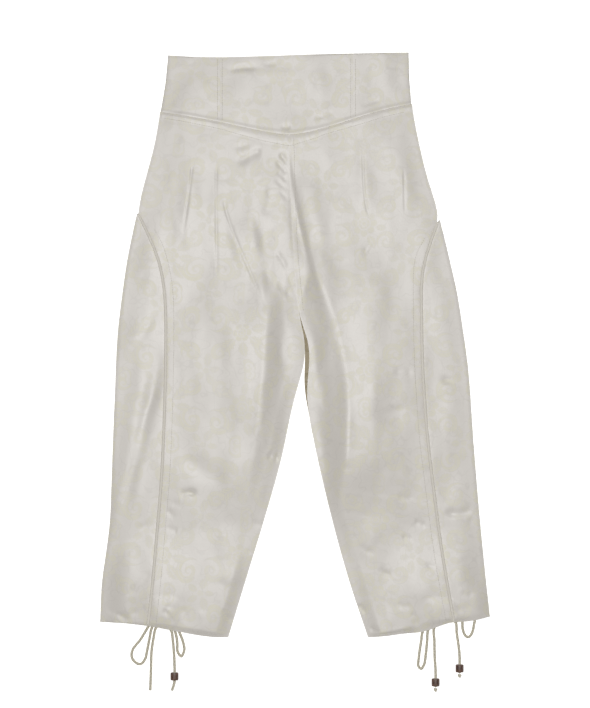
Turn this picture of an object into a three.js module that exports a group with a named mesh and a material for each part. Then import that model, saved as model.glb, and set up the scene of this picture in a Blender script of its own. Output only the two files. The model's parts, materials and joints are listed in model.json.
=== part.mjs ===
// Lace-up cropped pants laid flat on a surface, front up. Millimetres.
// +Z rises out of the front, +Y points to the waist and +X to the right of someone looking down on the front.
// The origin is under the middle of the garment, on the surface that it lies on.
// Every cloth piece is a closed wall. The back layer is flat on the surface, the front layer lies on it,
// and the pieces at the sides wrap round the outer fold from the front to the back.

import * as THREE from "three";

// ---- Cloth ----
const CLOTH = 1.2; // wall of a leg piece
const BAND_CLOTH = 1.8; // wall of the doubled waistband
const GAP = 0.3; // between pieces that touch
const WAIST_GAP = 0.6; // along the curved waist seam, where the two grids differ
const CRISP = 2.2; // width of the cut point of a side panel at the outer fold

// ---- Outline of the legs, a row for each height: where the outer folds lie ----
const OUTER_FOLD = [
  { y: 437, left: -192, right: 169.5 },
  { y: 390, left: -196.5, right: 171 },
  { y: 345, left: -204, right: 175.5 },
  { y: 300, left: -211.5, right: 184.5 },
  { y: 255, left: -223.5, right: 195 },
  { y: 210, left: -235.5, right: 209.5 },
  { y: 165, left: -246, right: 222 },
  { y: 120, left: -255, right: 232.5 },
  { y: 75, left: -261, right: 243 },
  { y: 30, left: -267, right: 249.5 },
  { y: -15, left: -270, right: 256.5 },
  { y: -60, left: -271.5, right: 261 },
  { y: -130, left: -274.5, right: 265.5 },
  { y: -200, left: -277, right: 271 },
  { y: -265, left: -279.5, right: 276.5 },
  { y: -310, left: -285, right: 281 },
  { y: -355, left: -291.5, right: 285.5 },
  { y: -410, left: -294, right: 291.5 },
  { y: -440, left: -294.5, right: 293.5 },
];

// ---- Curved seams of the side panels, from the outer fold down to the hem ----
const SIDE_SEAM_LEFT = [
  { y: 196, x: -236.4 },
  { y: 169, x: -223.5 },
  { y: 146, x: -211.5 },
  { y: 109, x: -201 },
  { y: 79, x: -196.5 },
  { y: 34, x: -195 },
  { y: -79, x: -196.5 },
  { y: -191, x: -201 },
  { y: -290, x: -209 },
  { y: -365, x: -215.5 },
  { y: -440, x: -224 },
];
const SIDE_SEAM_RIGHT = [
  { y: 186, x: 213.8 },
  { y: 157, x: 203.5 },
  { y: 130, x: 191.5 },
  { y: 104, x: 188 },
  { y: 50, x: 188 },
  { y: -28, x: 189.5 },
  { y: -79, x: 192.5 },
  { y: -140, x: 197 },
  { y: -215, x: 206 },
  { y: -316, x: 219.5 },
  { y: -440, x: 241 },
];

// ---- Centre seam, crotch and inner leg edges. The front pieces part in a slit above the crotch ----
const INNER_EDGE_LEFT = [
  { y: 330, x: -11 },
  { y: 281, x: -9.5 },
  { y: 206, x: -7.5 },
  { y: 122, x: -3 },
  { y: 71, x: 2 },
  { y: 50, x: 4.2 },
  { y: 32, x: 6.3 },
  { y: 4, x: 14 },
  { y: -22, x: 14.5 },
  { y: -45, x: 8 },
  { y: -83, x: -3.5 },
  { y: -173, x: -22.5 },
  { y: -263, x: -48 },
  { y: -353, x: -75.5 },
  { y: -440, x: -102 },
];
const INNER_EDGE_RIGHT_FRONT = [
  { y: 330, x: -11 },
  { y: 281, x: -9.5 },
  { y: 206, x: -7.5 },
  { y: 122, x: -3 },
  { y: 71, x: 2 },
  { y: 50, x: 4.2 },
  { y: 32, x: 7.2 },
  { y: 4, x: 20 },
  { y: -22, x: 21.5 },
  { y: -45, x: 18 },
  { y: -83, x: 16 },
  { y: -173, x: 33 },
  { y: -263, x: 54.5 },
  { y: -353, x: 79.5 },
  { y: -440, x: 108.5 },
];
const INNER_EDGE_RIGHT_BACK = [
  { y: 330, x: -11 },
  { y: 281, x: -9.5 },
  { y: 206, x: -7.5 },
  { y: 122, x: -3 },
  { y: 71, x: 2 },
  { y: 50, x: 4.2 },
  { y: 32, x: 6.3 },
  { y: 4, x: 14 },
  { y: -22, x: 14.5 },
  { y: -45, x: 10 },
  { y: -83, x: 15 },
  { y: -173, x: 33 },
  { y: -263, x: 54.5 },
  { y: -353, x: 79.5 },
  { y: -440, x: 108.5 },
];

// ---- Waist edge, the V seam under the waistband, and the hems, a row for each place across ----
const WAIST_EDGE = [
  { x: -200, y: 433.5 },
  { x: -144, y: 430.5 },
  { x: -90, y: 430.5 },
  { x: 70, y: 435.5 },
  { x: 180, y: 437.5 },
];
const WAIST_SEAM = [
  { x: -220, y: 351 },
  { x: -170, y: 343.5 },
  { x: -117, y: 334 },
  { x: -51, y: 320 },
  { x: -9, y: 314.5 },
  { x: 31.5, y: 321.5 },
  { x: 73.5, y: 334 },
  { x: 130.5, y: 351.5 },
  { x: 190, y: 363.5 },
];
const HEM = [
  { x: -294, y: -415.5 },
  { x: -234, y: -419.5 },
  { x: -174, y: -430 },
  { x: -132, y: -437.5 },
  { x: -100, y: -438.5 },
  { x: 108, y: -438.5 },
  { x: 133, y: -437 },
  { x: 160, y: -433.5 },
  { x: 193, y: -429 },
  { x: 230, y: -416.5 },
  { x: 261, y: -414 },
  { x: 293, y: -407 },
];

// ---- Waistband: where its two upright seams stand ----
const BAND_SEAM_LEFT = -114;
const BAND_SEAM_RIGHT = 85.5;

// ---- Folds and pleats of the front layer, a row for each ----
// It runs through three points. left and right are the half-widths on the two sides of its crest.
const FOLDS = [
  { from: [-1, 274], by: [40, 52], to: [62, -223], left: 11, right: 26, height: 3.0 }, // right thigh
  { from: [-61, 175], by: [-51, 109], to: [-37, 45], left: 12, right: 12, height: 1.6 },
  { from: [-156, 262], by: [-162, 205], to: [-173, 140], left: 7, right: 13, height: 1.5 },
  { from: [-119, 268], by: [-120, 190], to: [-118, 85], left: 7, right: 13, height: 1.5 },
  { from: [-106, 217], by: [-80, 127], to: [-34, 32], left: 8, right: 15, height: 1.7 },
  { from: [-27, 26], by: [-42, -80], to: [-49, -170], left: 13, right: 16, height: 2.0 }, // left thigh
  { from: [100, 315], by: [102, 240], to: [111, 185], left: 7, right: 13, height: 1.4 },
  { from: [162, 285], by: [162, 240], to: [164, 190], left: 7, right: 12, height: 1.0 },
  { from: [-204, 62], by: [-234, 11], to: [-262, -28], left: 14, right: 14, height: 1.3 },
  { from: [-203, -46], by: [-236, -150], to: [-268, -318], left: 13, right: 18, height: 2.0 },
  { from: [-214, -332], by: [-234, -358], to: [-256, -382], left: 12, right: 12, height: 1.2 },
];
const FOLD_TAPER = 0.22; // share of a fold's length over which each end fades

// ---- The front layer lifts over each knot and over the laces that leave it ----
const LIFTS = [
  { x: -199, y: -410, flatX: 33, flatY: 34, fade: 34, height: 4.5 },
  { x: -199, y: -403, flatX: 10, flatY: 10, fade: 16, height: 1.5 },
  { x: 229, y: -408, flatX: 47, flatY: 34, fade: 14, height: 4.6 },
  { x: 220, y: -396, flatX: 10, flatY: 10, fade: 16, height: 1.5 },
];

// ---- Grid of the cloth walls ----
const ROWS_ABOVE_TIPS = 6;
const ROWS_BELOW_TIPS = 22;
const HEM_CROWDING = 0.35; // how much closer the rows lie at the hem
const FRONT_COLUMNS = 24;
const SIDE_COLUMNS = 4;
const BACK_COLUMNS = 9;
const BAND_STEP = 11; // width of a column of the waistband
const BAND_SIDE_COLUMNS = 7;
const BAND_ROWS = 2;

// ---- Piping along the curved seams ----
const PIPING_WIDTH = 4.6;
const PIPING_HEIGHT = 2.1;

// ---- Laces: one bow inside each hem, with two loops and two ends ----
const LACE_DIAMETER = 4;
const LACE_SIDES = 8;
const LACE_IN = CLOTH + GAP + LACE_DIAMETER / 2; // height of its middle between the layers
const LACE_OUT = LACE_DIAMETER / 2; // height of its middle on the surface
const HEM_CLEAR = 7; // a lace keeps its height this far past the hem
const HEM_REACH = 22; // and is down on the surface this far past it
const LOOP_STEP = 10.5;
const END_STEP = 14;
const KNOT_RADIUS = 8;
const KNOT_HEIGHT = 5.2;

// ---- Beads: a rounded drum of wood on a lace, resting on the surface ----
const BEAD_RADIUS = 6;
const BEAD_LENGTH = 11.6;
const BEAD_HOLE = 2.7;
const BEAD_LEAD = 18; // how far before the middle of its bead a lace lies level and straight
const BEAD_ROUNDING = 2.2;
const BEAD_SEGMENTS = 14;
const STOPPER_RADIUS = 3.1;

const BOWS = [
  {
    side: "left",
    knot: [-199.5, -404],
    laces: [
      {
        name: "outer_loop",
        step: LOOP_STEP,
        leave: -165,
        route: [[-221.5, -423], [-233, -442], [-245, -458], [-246, -469], [-240, -477], [-233, -479],
          [-226.5, -472], [-223, -458], [-219.5, -440], [-216, -424.5]],
        back: -135,
      },
      {
        name: "long_end",
        step: END_STEP,
        leave: -105,
        route: [[-210.3, -425.5], [-213.5, -440], [-216.5, -460], [-217.5, -490], [-218.5, -519]],
      },
      {
        name: "beaded_end",
        step: END_STEP,
        leave: -75,
        route: [[-187, -429], [-184.5, -445], [-183, -462]],
        bead: [-182, -497],
        tail: [-186, -519],
      },
      {
        name: "inner_loop",
        step: LOOP_STEP,
        leave: -15,
        route: [[-175.5, -430], [-169, -447], [-167.5, -458], [-172, -467.5], [-177.5, -460],
          [-178, -447], [-181.3, -430]],
        back: -45,
      },
    ],
  },
  {
    side: "right",
    knot: [220, -397],
    laces: [
      {
        name: "inner_loop",
        step: LOOP_STEP,
        leave: -165,
        route: [[190, -430], [187.5, -445], [184, -470], [183.5, -482], [187.5, -486], [192, -480],
          [194.5, -465], [196.5, -445], [198, -428.5]],
        back: -135,
      },
      {
        name: "inner_end",
        step: END_STEP,
        leave: -105,
        route: [[207, -425], [207.5, -445], [208, -470]],
        bead: [209, -506],
      },
      {
        name: "outer_end",
        step: END_STEP,
        leave: -75,
        route: [[238.5, -415.5], [241, -433], [243.5, -450]],
        bead: [245, -485],
      },
      {
        name: "outer_loop",
        step: LOOP_STEP,
        leave: -45,
        route: [[247.5, -411], [250, -427], [254, -436.5], [259, -438.5], [264, -432], [266.5, -421], [267, -410]],
        back: -15,
      },
    ],
  },
];

// ---- Finishes ----
const FABRIC = { color: 0xd3cec6, roughness: 0.6, metalness: 0 };
const PIPING_CLOTH = { color: 0xdad5ca, roughness: 0.7, metalness: 0 };
const LACE_CLOTH = { color: 0xb9b09a, roughness: 0.8, metalness: 0 };
const WOOD = { color: 0x5a3a28, roughness: 0.5, metalness: 0 };

// ---- Curves ----

const lerp = THREE.MathUtils.lerp;
const smoothstep = THREE.MathUtils.smoothstep;

// A smooth function through the rows of a table, from one named column to another.
function through(table, from, to) {
  const rows = [...table].sort((a, b) => a[from] - b[from]);
  const last = rows.length - 1;
  const slope = (i) => {
    const before = rows[Math.max(i - 1, 0)];
    const after = rows[Math.min(i + 1, last)];
    return (after[to] - before[to]) / (after[from] - before[from]);
  };
  return (value) => {
    let i = 0;
    while (i < last - 1 && value > rows[i + 1][from]) i += 1;
    const span = rows[i + 1][from] - rows[i][from];
    const s = THREE.MathUtils.clamp((value - rows[i][from]) / span, 0, 1);
    const s2 = s * s;
    const s3 = s2 * s;
    return (
      rows[i][to] * (2 * s3 - 3 * s2 + 1) +
      rows[i + 1][to] * (3 * s2 - 2 * s3) +
      slope(i) * span * (s3 - 2 * s2 + s) +
      slope(i + 1) * span * (s3 - s2)
    );
  };
}

const foldLeft = through(OUTER_FOLD, "y", "left");
const foldRight = through(OUTER_FOLD, "y", "right");
const seamLeft = through(SIDE_SEAM_LEFT, "y", "x");
const seamRight = through(SIDE_SEAM_RIGHT, "y", "x");
const innerLeft = through(INNER_EDGE_LEFT, "y", "x");
const innerRightFront = through(INNER_EDGE_RIGHT_FRONT, "y", "x");
const innerRightBack = through(INNER_EDGE_RIGHT_BACK, "y", "x");
const waistEdge = through(WAIST_EDGE, "x", "y");
const waistSeam = through(WAIST_SEAM, "x", "y");
const hem = through(HEM, "x", "y");

const TIP_LEFT = SIDE_SEAM_LEFT[0].y;
const TIP_RIGHT = SIDE_SEAM_RIGHT[0].y;

// ---- Height of the front layer ----

// Height of one fold at a point: a rounded crest that fades at both ends.
function foldHeight(fold, x, y) {
  const along = (fold.from[1] - y) / (fold.from[1] - fold.to[1]);
  if (along <= 0 || along >= 1) return 0;
  const bend = (fold.from[1] - fold.by[1]) / (fold.from[1] - fold.to[1]);
  const crest =
    (fold.from[0] * (along - bend) * (along - 1)) / bend +
    (fold.by[0] * along * (along - 1)) / (bend * (bend - 1)) +
    (fold.to[0] * along * (along - bend)) / (1 - bend);
  const off = x - crest;
  const spread = off / (off < 0 ? fold.left : fold.right);
  const ends = smoothstep(along, 0, FOLD_TAPER) * smoothstep(1 - along, 0, FOLD_TAPER);
  return fold.height * ends * Math.exp(-spread * spread);
}

// Height of one lift at a point: level on top, with soft sides.
function liftHeight(lift, x, y) {
  const outX = Math.max(Math.abs(x - lift.x) - lift.flatX, 0);
  const outY = Math.max(Math.abs(y - lift.y) - lift.flatY, 0);
  return lift.height * (1 - smoothstep(Math.hypot(outX, outY), 0, lift.fade));
}

// How far the front layer stands off the back layer.
function rise(x, y) {
  const folds = FOLDS.reduce((sum, fold) => sum + foldHeight(fold, x, y), 0);
  return folds + LIFTS.reduce((sum, lift) => sum + liftHeight(lift, x, y), 0);
}

const frontUnder = (x, y) => CLOTH + GAP + rise(x, y);
const frontTop = (x, y) => frontUnder(x, y) + CLOTH;
const bandUnder = () => BAND_CLOTH + GAP;
const bandTop = () => 2 * BAND_CLOTH + GAP;

// ---- Closed solids ----

// A named mesh with a finish of its own.
function mesh(name, geometry, finish) {
  const made = new THREE.Mesh(geometry, new THREE.MeshStandardMaterial(finish));
  made.name = name;
  return made;
}

// The closed wall between an outer and an inner grid of points, which have the same rows and columns.
// Rows run towards -Y, and on the side facing up columns run towards +X.
function wall(outer, inner) {
  const rows = outer.length;
  const columns = outer[0].length;
  const points = [...outer.flat(), ...inner.flat()];
  const faces = [];
  const quad = (a, b, c, d) => faces.push(a, b, c, a, c, d);
  const out = (row, column) => row * columns + column;
  const into = (row, column) => rows * columns + out(row, column);
  for (let r = 0; r < rows - 1; r += 1) {
    for (let c = 0; c < columns - 1; c += 1) {
      quad(out(r, c), out(r + 1, c), out(r + 1, c + 1), out(r, c + 1));
      quad(into(r, c), into(r, c + 1), into(r + 1, c + 1), into(r + 1, c));
    }
  }
  const rim = [];
  for (let r = 0; r < rows - 1; r += 1) rim.push([r, 0]);
  for (let c = 0; c < columns - 1; c += 1) rim.push([rows - 1, c]);
  for (let r = rows - 1; r > 0; r -= 1) rim.push([r, columns - 1]);
  for (let c = columns - 1; c > 0; c -= 1) rim.push([0, c]);
  rim.forEach((here, i) => {
    const next = rim[(i + 1) % rim.length];
    quad(out(...next), out(...here), into(...here), into(...next));
  });
  const geometry = new THREE.BufferGeometry();
  geometry.setAttribute("position", new THREE.Float32BufferAttribute(points.flat(), 3));
  geometry.setIndex(faces);
  geometry.computeVertexNormals();
  return geometry;
}

const steps = (count) => Array.from({ length: count + 1 }, (_, i) => i / count);

// ---- Leg pieces: t runs from the waist seam (0) to the hem (1) ----

const UPPER = (x) => waistSeam(x) - WAIST_GAP / 2;

// The share t of a height on a boundary.
const levelOf = (boundary, y) => (UPPER(boundary(y)) - y) / (UPPER(boundary(y)) - hem(boundary(y)));

const TIP_LEVELS = [levelOf(foldLeft, TIP_LEFT), levelOf(foldRight, TIP_RIGHT)].sort((a, b) => a - b);

// The rows that all leg pieces share, with one at the point of each side panel.
const LEVELS = [
  ...steps(ROWS_ABOVE_TIPS).map((s) => s * TIP_LEVELS[0]),
  ...steps(ROWS_BELOW_TIPS).map((s) => {
    const crowded = s + (HEM_CROWDING * Math.sin(Math.PI * s)) / Math.PI;
    return lerp(TIP_LEVELS[1], 1, crowded);
  }),
];

// The place at share u between two boundaries, on the row of share t.
function place(leftEdge, rightEdge, u, t) {
  let y = lerp(UPPER(0), hem(0), t);
  let x = 0;
  for (let i = 0; i < 8; i += 1) {
    x = lerp(leftEdge(y), rightEdge(y), u);
    y = lerp(UPPER(x), hem(x), t);
  }
  return [x, y];
}

// The outer boundary of a front or back piece: the fold above the side panel's point, the seam below.
const pieceLeft = (y) => (y > TIP_LEFT + CRISP ? foldLeft(y) : seamLeft(y) + GAP / 2);
const pieceRight = (y) => (y > TIP_RIGHT + CRISP ? foldRight(y) : seamRight(y) - GAP / 2);
const centre = (boundary, side) => (y) => boundary(y) + (side * GAP) / 2;

// A front or back piece of a leg.
function legPiece(leftEdge, rightEdge, columns, top, under) {
  const grid = LEVELS.map((t) => steps(columns).map((u) => place(leftEdge, rightEdge, u, t)));
  const raise = (height) => grid.map((row) => row.map(([x, y]) => [x, y, height(x, y)]));
  return wall(raise(top), raise(under));
}

// The cross-section of cloth that wraps round an outer fold at height y, from the front seam to the back one.
// side is -1 at the left fold and 1 at the right one.
function wrapRow(side, columns, seamX, foldX, placeAt, heights) {
  const radius = heights.total / 2;
  const turnX = foldX - side * radius;
  const across = steps(columns).map((s) => placeAt(lerp(seamX, turnX, s)));
  const back = [...across].reverse();
  const round = [45, -45].map((degrees) => {
    const angle = THREE.MathUtils.degToRad(degrees);
    const [x, y] = placeAt(turnX + side * radius * Math.cos(angle));
    return [x, y, radius + radius * Math.sin(angle)];
  });
  const innerTop = heights.under(...across.at(-1));
  const inside = round.map((_, i) => [...placeAt(turnX), lerp(innerTop, heights.back, (i + 1) / 3)]);
  const outer = [
    ...across.map(([x, y]) => [x, y, heights.top(x, y)]),
    ...round,
    ...back.map(([x, y]) => [x, y, 0]),
  ];
  const inner = [
    ...across.map(([x, y]) => [x, y, heights.under(x, y)]),
    ...inside,
    ...back.map(([x, y]) => [x, y, heights.back]),
  ];
  return side < 0 ? { outer: outer.reverse(), inner: inner.reverse() } : { outer, inner };
}

const LEG_HEIGHTS = { top: frontTop, under: frontUnder, back: CLOTH, total: 2 * CLOTH + GAP };
const BAND_HEIGHTS = { top: bandTop, under: bandUnder, back: BAND_CLOTH, total: 2 * BAND_CLOTH + GAP };

// A side panel: from the front seam round the outer fold to the back seam, one row for each level.
function sidePanel(side, seam, fold, tip) {
  const first = levelOf(fold, tip);
  const rows = LEVELS.filter((t) => t >= first - 1e-9).map((t) => {
    const [seamX] = place(seam, seam, 0, t);
    const [foldX] = place(fold, fold, 0, t);
    const placeAt = (x) => [x, lerp(UPPER(x), hem(x), t)];
    return wrapRow(side, SIDE_COLUMNS, seamX + (side * GAP) / 2, foldX, placeAt, LEG_HEIGHTS);
  });
  return wall(rows.map((row) => row.outer), rows.map((row) => row.inner));
}

// ---- Waistband: s runs from the waist edge (0) to the V seam (1) ----

const bandY = (x, s) => lerp(waistEdge(x), waistSeam(x) + WAIST_GAP / 2, s);

function bandPiece(fromX, toX, top, under) {
  const columns = steps(Math.ceil((toX - fromX) / BAND_STEP));
  const grid = steps(BAND_ROWS).map((s) =>
    columns.map((u) => [lerp(fromX, toX, u), bandY(lerp(fromX, toX, u), s)]),
  );
  const raise = (height) => grid.map((row) => row.map(([x, y]) => [x, y, height(x, y)]));
  return wall(raise(top), raise(under));
}

function bandSide(side, seamX, fold) {
  const rows = steps(BAND_ROWS).map((s) => {
    const foldX = fold(bandY(fold(waistEdge(seamX)), s));
    return wrapRow(side, BAND_SIDE_COLUMNS, seamX, foldX, (x) => [x, bandY(x, s)], BAND_HEIGHTS);
  });
  return wall(rows.map((row) => row.outer), rows.map((row) => row.inner));
}

// ---- Piping: a low round welt over a curved seam ----

function piping(seam, fold, tip) {
  const first = levelOf(fold, tip);
  const levels = LEVELS.filter((t) => t >= first - 1e-9);
  const across = [-1, -0.6, 0, 0.6, 1];
  const outer = [];
  const inner = [];
  for (const t of levels) {
    const [middle, y] = place(seam, seam, 0, t);
    const half = PIPING_WIDTH / 2;
    const seat = Math.max(frontTop(middle - half, y), frontTop(middle, y), frontTop(middle + half, y)) + GAP;
    outer.push(across.map((k) => [middle + k * half, y, seat + PIPING_HEIGHT * (1 - 0.72 * k * k)]));
    inner.push(across.map((k) => [middle + k * half, y, seat]));
  }
  return wall(outer, inner);
}

// ---- Laces, knots and beads ----

// A round cord along a smooth curve through points.
function cord(points, step) {
  const path = new THREE.CatmullRomCurve3(points.map((p) => new THREE.Vector3(...p)));
  const section = new THREE.Shape(
    steps(LACE_SIDES).slice(0, -1).map((s) => {
      const angle = 2 * Math.PI * s;
      return new THREE.Vector2(Math.cos(angle), Math.sin(angle)).multiplyScalar(LACE_DIAMETER / 2);
    }),
  );
  const count = Math.round(path.getLength() / step);
  return new THREE.ExtrudeGeometry(section, { steps: count, bevelEnabled: false, extrudePath: path });
}

// Two points of a lace where it leaves its knot straight out, at an angle in degrees.
function leavePoints(knot, degrees) {
  const angle = THREE.MathUtils.degToRad(degrees);
  return [KNOT_RADIUS + GAP, KNOT_RADIUS + LACE_DIAMETER].map((radius) => [
    knot[0] + radius * Math.cos(angle),
    knot[1] + radius * Math.sin(angle),
    LACE_IN,
  ]);
}

// The height of a lace: between the layers inside the hem, then down to the surface just outside it.
function laceHeight([x, y]) {
  const outside = hem(x) - y;
  return lerp(LACE_IN, LACE_OUT, smoothstep(outside, HEM_CLEAR, HEM_REACH));
}

function knotSolid() {
  const ball = new THREE.SphereGeometry(KNOT_RADIUS, 14, 8);
  ball.rotateX(Math.PI / 2);
  ball.scale(1, 1, KNOT_HEIGHT / (2 * KNOT_RADIUS));
  return ball;
}

// A drum with rounded rims and a hole along its axis, which is Y.
function beadSolid() {
  const half = BEAD_LENGTH / 2;
  const profile = [new THREE.Vector2(BEAD_HOLE, -half + 1), new THREE.Vector2(BEAD_HOLE + 1, -half)];
  for (const [end, fromAngle] of [[-1, -90], [1, 0]]) {
    for (const s of steps(2)) {
      const angle = THREE.MathUtils.degToRad(fromAngle + 90 * s);
      profile.push(
        new THREE.Vector2(
          BEAD_RADIUS - BEAD_ROUNDING + BEAD_ROUNDING * Math.cos(angle),
          end * (half - BEAD_ROUNDING) + BEAD_ROUNDING * Math.sin(angle),
        ),
      );
    }
  }
  profile.push(new THREE.Vector2(BEAD_HOLE + 1, half), new THREE.Vector2(BEAD_HOLE, half - 1));
  profile.push(profile[0].clone());
  return new THREE.LatheGeometry(profile, BEAD_SEGMENTS);
}

// One lace of a bow, with the bead and the stopper knot that are on it.
function laceMeshes(side, knot, lace) {
  const name = `lace_${side}_${lace.name}`;
  const points = leavePoints(knot, lace.leave);
  for (const [x, y] of lace.route) points.push([x, y, laceHeight([x, y])]);
  if (lace.back !== undefined) points.push(...leavePoints(knot, lace.back).reverse());
  const made = [];
  if (lace.bead) {
    const [x, y] = lace.bead;
    const endY = y - BEAD_LENGTH / 2;
    points.push([x, y + BEAD_LEAD, BEAD_RADIUS], [x, endY - 2, BEAD_RADIUS]);
    const bead = mesh(`bead_${side}_${lace.name}`, beadSolid(), WOOD);
    bead.position.set(x, y, BEAD_RADIUS);
    made.push(bead);
    if (lace.tail) {
      points.push([...lace.tail, LACE_OUT + 3]);
    } else {
      const ball = new THREE.SphereGeometry(STOPPER_RADIUS, 10, 6);
      const stopper = mesh(`stopper_${side}_${lace.name}`, ball, LACE_CLOTH);
      stopper.position.set(x, endY - 2 - GAP - STOPPER_RADIUS, BEAD_RADIUS);
      made.push(stopper);
    }
  }
  made.unshift(mesh(name, cord(points, lace.step), LACE_CLOTH));
  return made;
}

// ---- The pants ----

const pants = new THREE.Group();

pants.add(
  mesh("front_left", legPiece(pieceLeft, centre(innerLeft, -1), FRONT_COLUMNS, frontTop, frontUnder), FABRIC),
  mesh(
    "front_right",
    legPiece(centre(innerRightFront, 1), pieceRight, FRONT_COLUMNS, frontTop, frontUnder),
    FABRIC,
  ),
  mesh(
    "back_left",
    legPiece(pieceLeft, centre(innerLeft, -1), BACK_COLUMNS, () => CLOTH, () => 0),
    FABRIC,
  ),
  mesh(
    "back_right",
    legPiece(centre(innerRightBack, 1), pieceRight, BACK_COLUMNS, () => CLOTH, () => 0),
    FABRIC,
  ),
  mesh("side_panel_left", sidePanel(-1, seamLeft, foldLeft, TIP_LEFT), FABRIC),
  mesh("side_panel_right", sidePanel(1, seamRight, foldRight, TIP_RIGHT), FABRIC),
  mesh("piping_left", piping(seamLeft, foldLeft, TIP_LEFT), PIPING_CLOTH),
  mesh("piping_right", piping(seamRight, foldRight, TIP_RIGHT), PIPING_CLOTH),
);

const bandLeft = BAND_SEAM_LEFT + GAP / 2;
const bandRight = BAND_SEAM_RIGHT - GAP / 2;
pants.add(
  mesh("waistband_front", bandPiece(bandLeft, bandRight, bandTop, bandUnder), FABRIC),
  mesh("waistband_back", bandPiece(bandLeft, bandRight, () => BAND_CLOTH, () => 0), FABRIC),
  mesh("waistband_side_left", bandSide(-1, BAND_SEAM_LEFT - GAP / 2, foldLeft), FABRIC),
  mesh("waistband_side_right", bandSide(1, BAND_SEAM_RIGHT + GAP / 2, foldRight), FABRIC),
);

for (const { side, knot, laces } of BOWS) {
  const tied = mesh(`knot_${side}`, knotSolid(), LACE_CLOTH);
  tied.position.set(...knot, CLOTH + GAP + KNOT_HEIGHT / 2);
  pants.add(tied);
  for (const lace of laces) pants.add(...laceMeshes(side, knot, lace));
}

// The origin goes under the middle of the garment, measured without the laces and what is on them.
pants.updateMatrixWorld(true);
const cloth = new THREE.Box3();
for (const piece of pants.children) {
  if (!/^(lace|knot|bead|stopper)_/.test(piece.name)) cloth.expandByObject(piece);
}
const middle = cloth.getCenter(new THREE.Vector3());
for (const piece of pants.children) {
  piece.position.x -= middle.x;
  piece.position.y -= middle.y;
}

export default pants;
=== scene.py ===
# %% [markdown]
# # Lace-up cropped pants, laid flat
#
# The pants are high-waisted and cropped, of an ivory jacquard: a satin with its pattern woven in, in almost
# the same colour. They lie on a surface with the front up. The solids of every piece come from the packed
# model, which is the frame that this file dresses: it turns each cloth solid into a thin shell with seams
# and creases, and lays the piping, the stitches, the laces and the wooden beads over and round them.
# Blender works in metres. What a maker would measure is written in millimetres and multiplied by `MM` where
# it is used. The camera, the floor and the light are in metres.

import json
import math

import bmesh
import bpy
import numpy as np
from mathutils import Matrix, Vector, noise
from mathutils.bvhtree import BVHTree
from mathutils.kdtree import KDTree

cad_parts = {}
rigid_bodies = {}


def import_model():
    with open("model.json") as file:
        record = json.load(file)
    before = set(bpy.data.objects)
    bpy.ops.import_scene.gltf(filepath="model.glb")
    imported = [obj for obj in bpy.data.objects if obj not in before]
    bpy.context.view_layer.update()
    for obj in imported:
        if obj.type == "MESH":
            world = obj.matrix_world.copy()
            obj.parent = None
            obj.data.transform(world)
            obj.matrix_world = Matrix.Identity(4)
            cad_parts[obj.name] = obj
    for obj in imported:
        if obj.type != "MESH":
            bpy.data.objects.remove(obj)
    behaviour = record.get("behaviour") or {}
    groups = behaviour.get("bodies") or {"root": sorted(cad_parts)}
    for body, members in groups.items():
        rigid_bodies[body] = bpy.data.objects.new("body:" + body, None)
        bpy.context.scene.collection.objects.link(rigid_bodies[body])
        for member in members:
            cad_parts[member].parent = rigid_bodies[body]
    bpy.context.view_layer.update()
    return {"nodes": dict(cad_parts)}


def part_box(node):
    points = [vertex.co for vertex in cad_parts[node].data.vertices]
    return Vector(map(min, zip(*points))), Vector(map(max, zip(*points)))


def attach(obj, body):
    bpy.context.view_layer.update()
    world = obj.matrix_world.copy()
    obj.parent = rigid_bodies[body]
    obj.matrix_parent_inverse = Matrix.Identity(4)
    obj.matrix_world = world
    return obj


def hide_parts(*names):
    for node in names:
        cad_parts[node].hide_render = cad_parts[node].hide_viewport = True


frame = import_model()
NODES = frame["nodes"]
MM = 0.001

# %% [markdown]
# ## Places on the pants
#
# The pants were laid out on a plan with its own zero point, a little away from the middle of the cloth.
# The left knot lies at (-199.5, -404) on that plan, so its box in the frame tells how far the plan is
# moved, and `at` turns a place on the plan into a place in the frame.

# %% From the plan to the frame
PLAN_KNOTS = {"left": (-199.5, -404.0), "right": (220.0, -397.0)}
low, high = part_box("knot_left")
PLAN_X = (low.x + high.x) / 2 - PLAN_KNOTS["left"][0] * MM
PLAN_Y = (low.y + high.y) / 2 - PLAN_KNOTS["left"][1] * MM


def at(x, y, z=0.0):
    return Vector((PLAN_X + x * MM, PLAN_Y + y * MM, z * MM))


print("plan moved by", round(PLAN_X / MM, 2), round(PLAN_Y / MM, 2), "mm")

# %% [markdown]
# ## Camera
#
# The pants are seen from straight above, a little off the middle because the laces hang out below. A long
# lens from far away keeps the edges true, as a flat lay on white needs.

# %% Camera
LENS = 0.135
SENSOR = 0.036
VIEW_HEIGHT = 1.062
VIEW_MIDDLE = (-1.5, -14.25)

camera_data = bpy.data.cameras.new("camera")
camera_data.lens = LENS / MM
camera_data.sensor_width = SENSOR / MM
camera = bpy.data.objects.new("camera", camera_data)
camera.location = at(*VIEW_MIDDLE) + Vector((0, 0, VIEW_HEIGHT * LENS / SENSOR))
bpy.context.scene.collection.objects.link(camera)
bpy.context.scene.camera = camera
print("camera height", round(camera.location.z, 3), "m")

# %% [markdown]
# ## Small helpers
#
# Operators work on whatever is selected, so each one starts from a clean slate. `only` selects one piece
# and makes it active. `new_mesh` makes a piece out of points and faces that a loop has worked out.

# %% Helpers for pieces


def only(piece):
    bpy.ops.object.select_all(action="DESELECT")
    piece.select_set(True)
    bpy.context.view_layer.objects.active = piece


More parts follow.
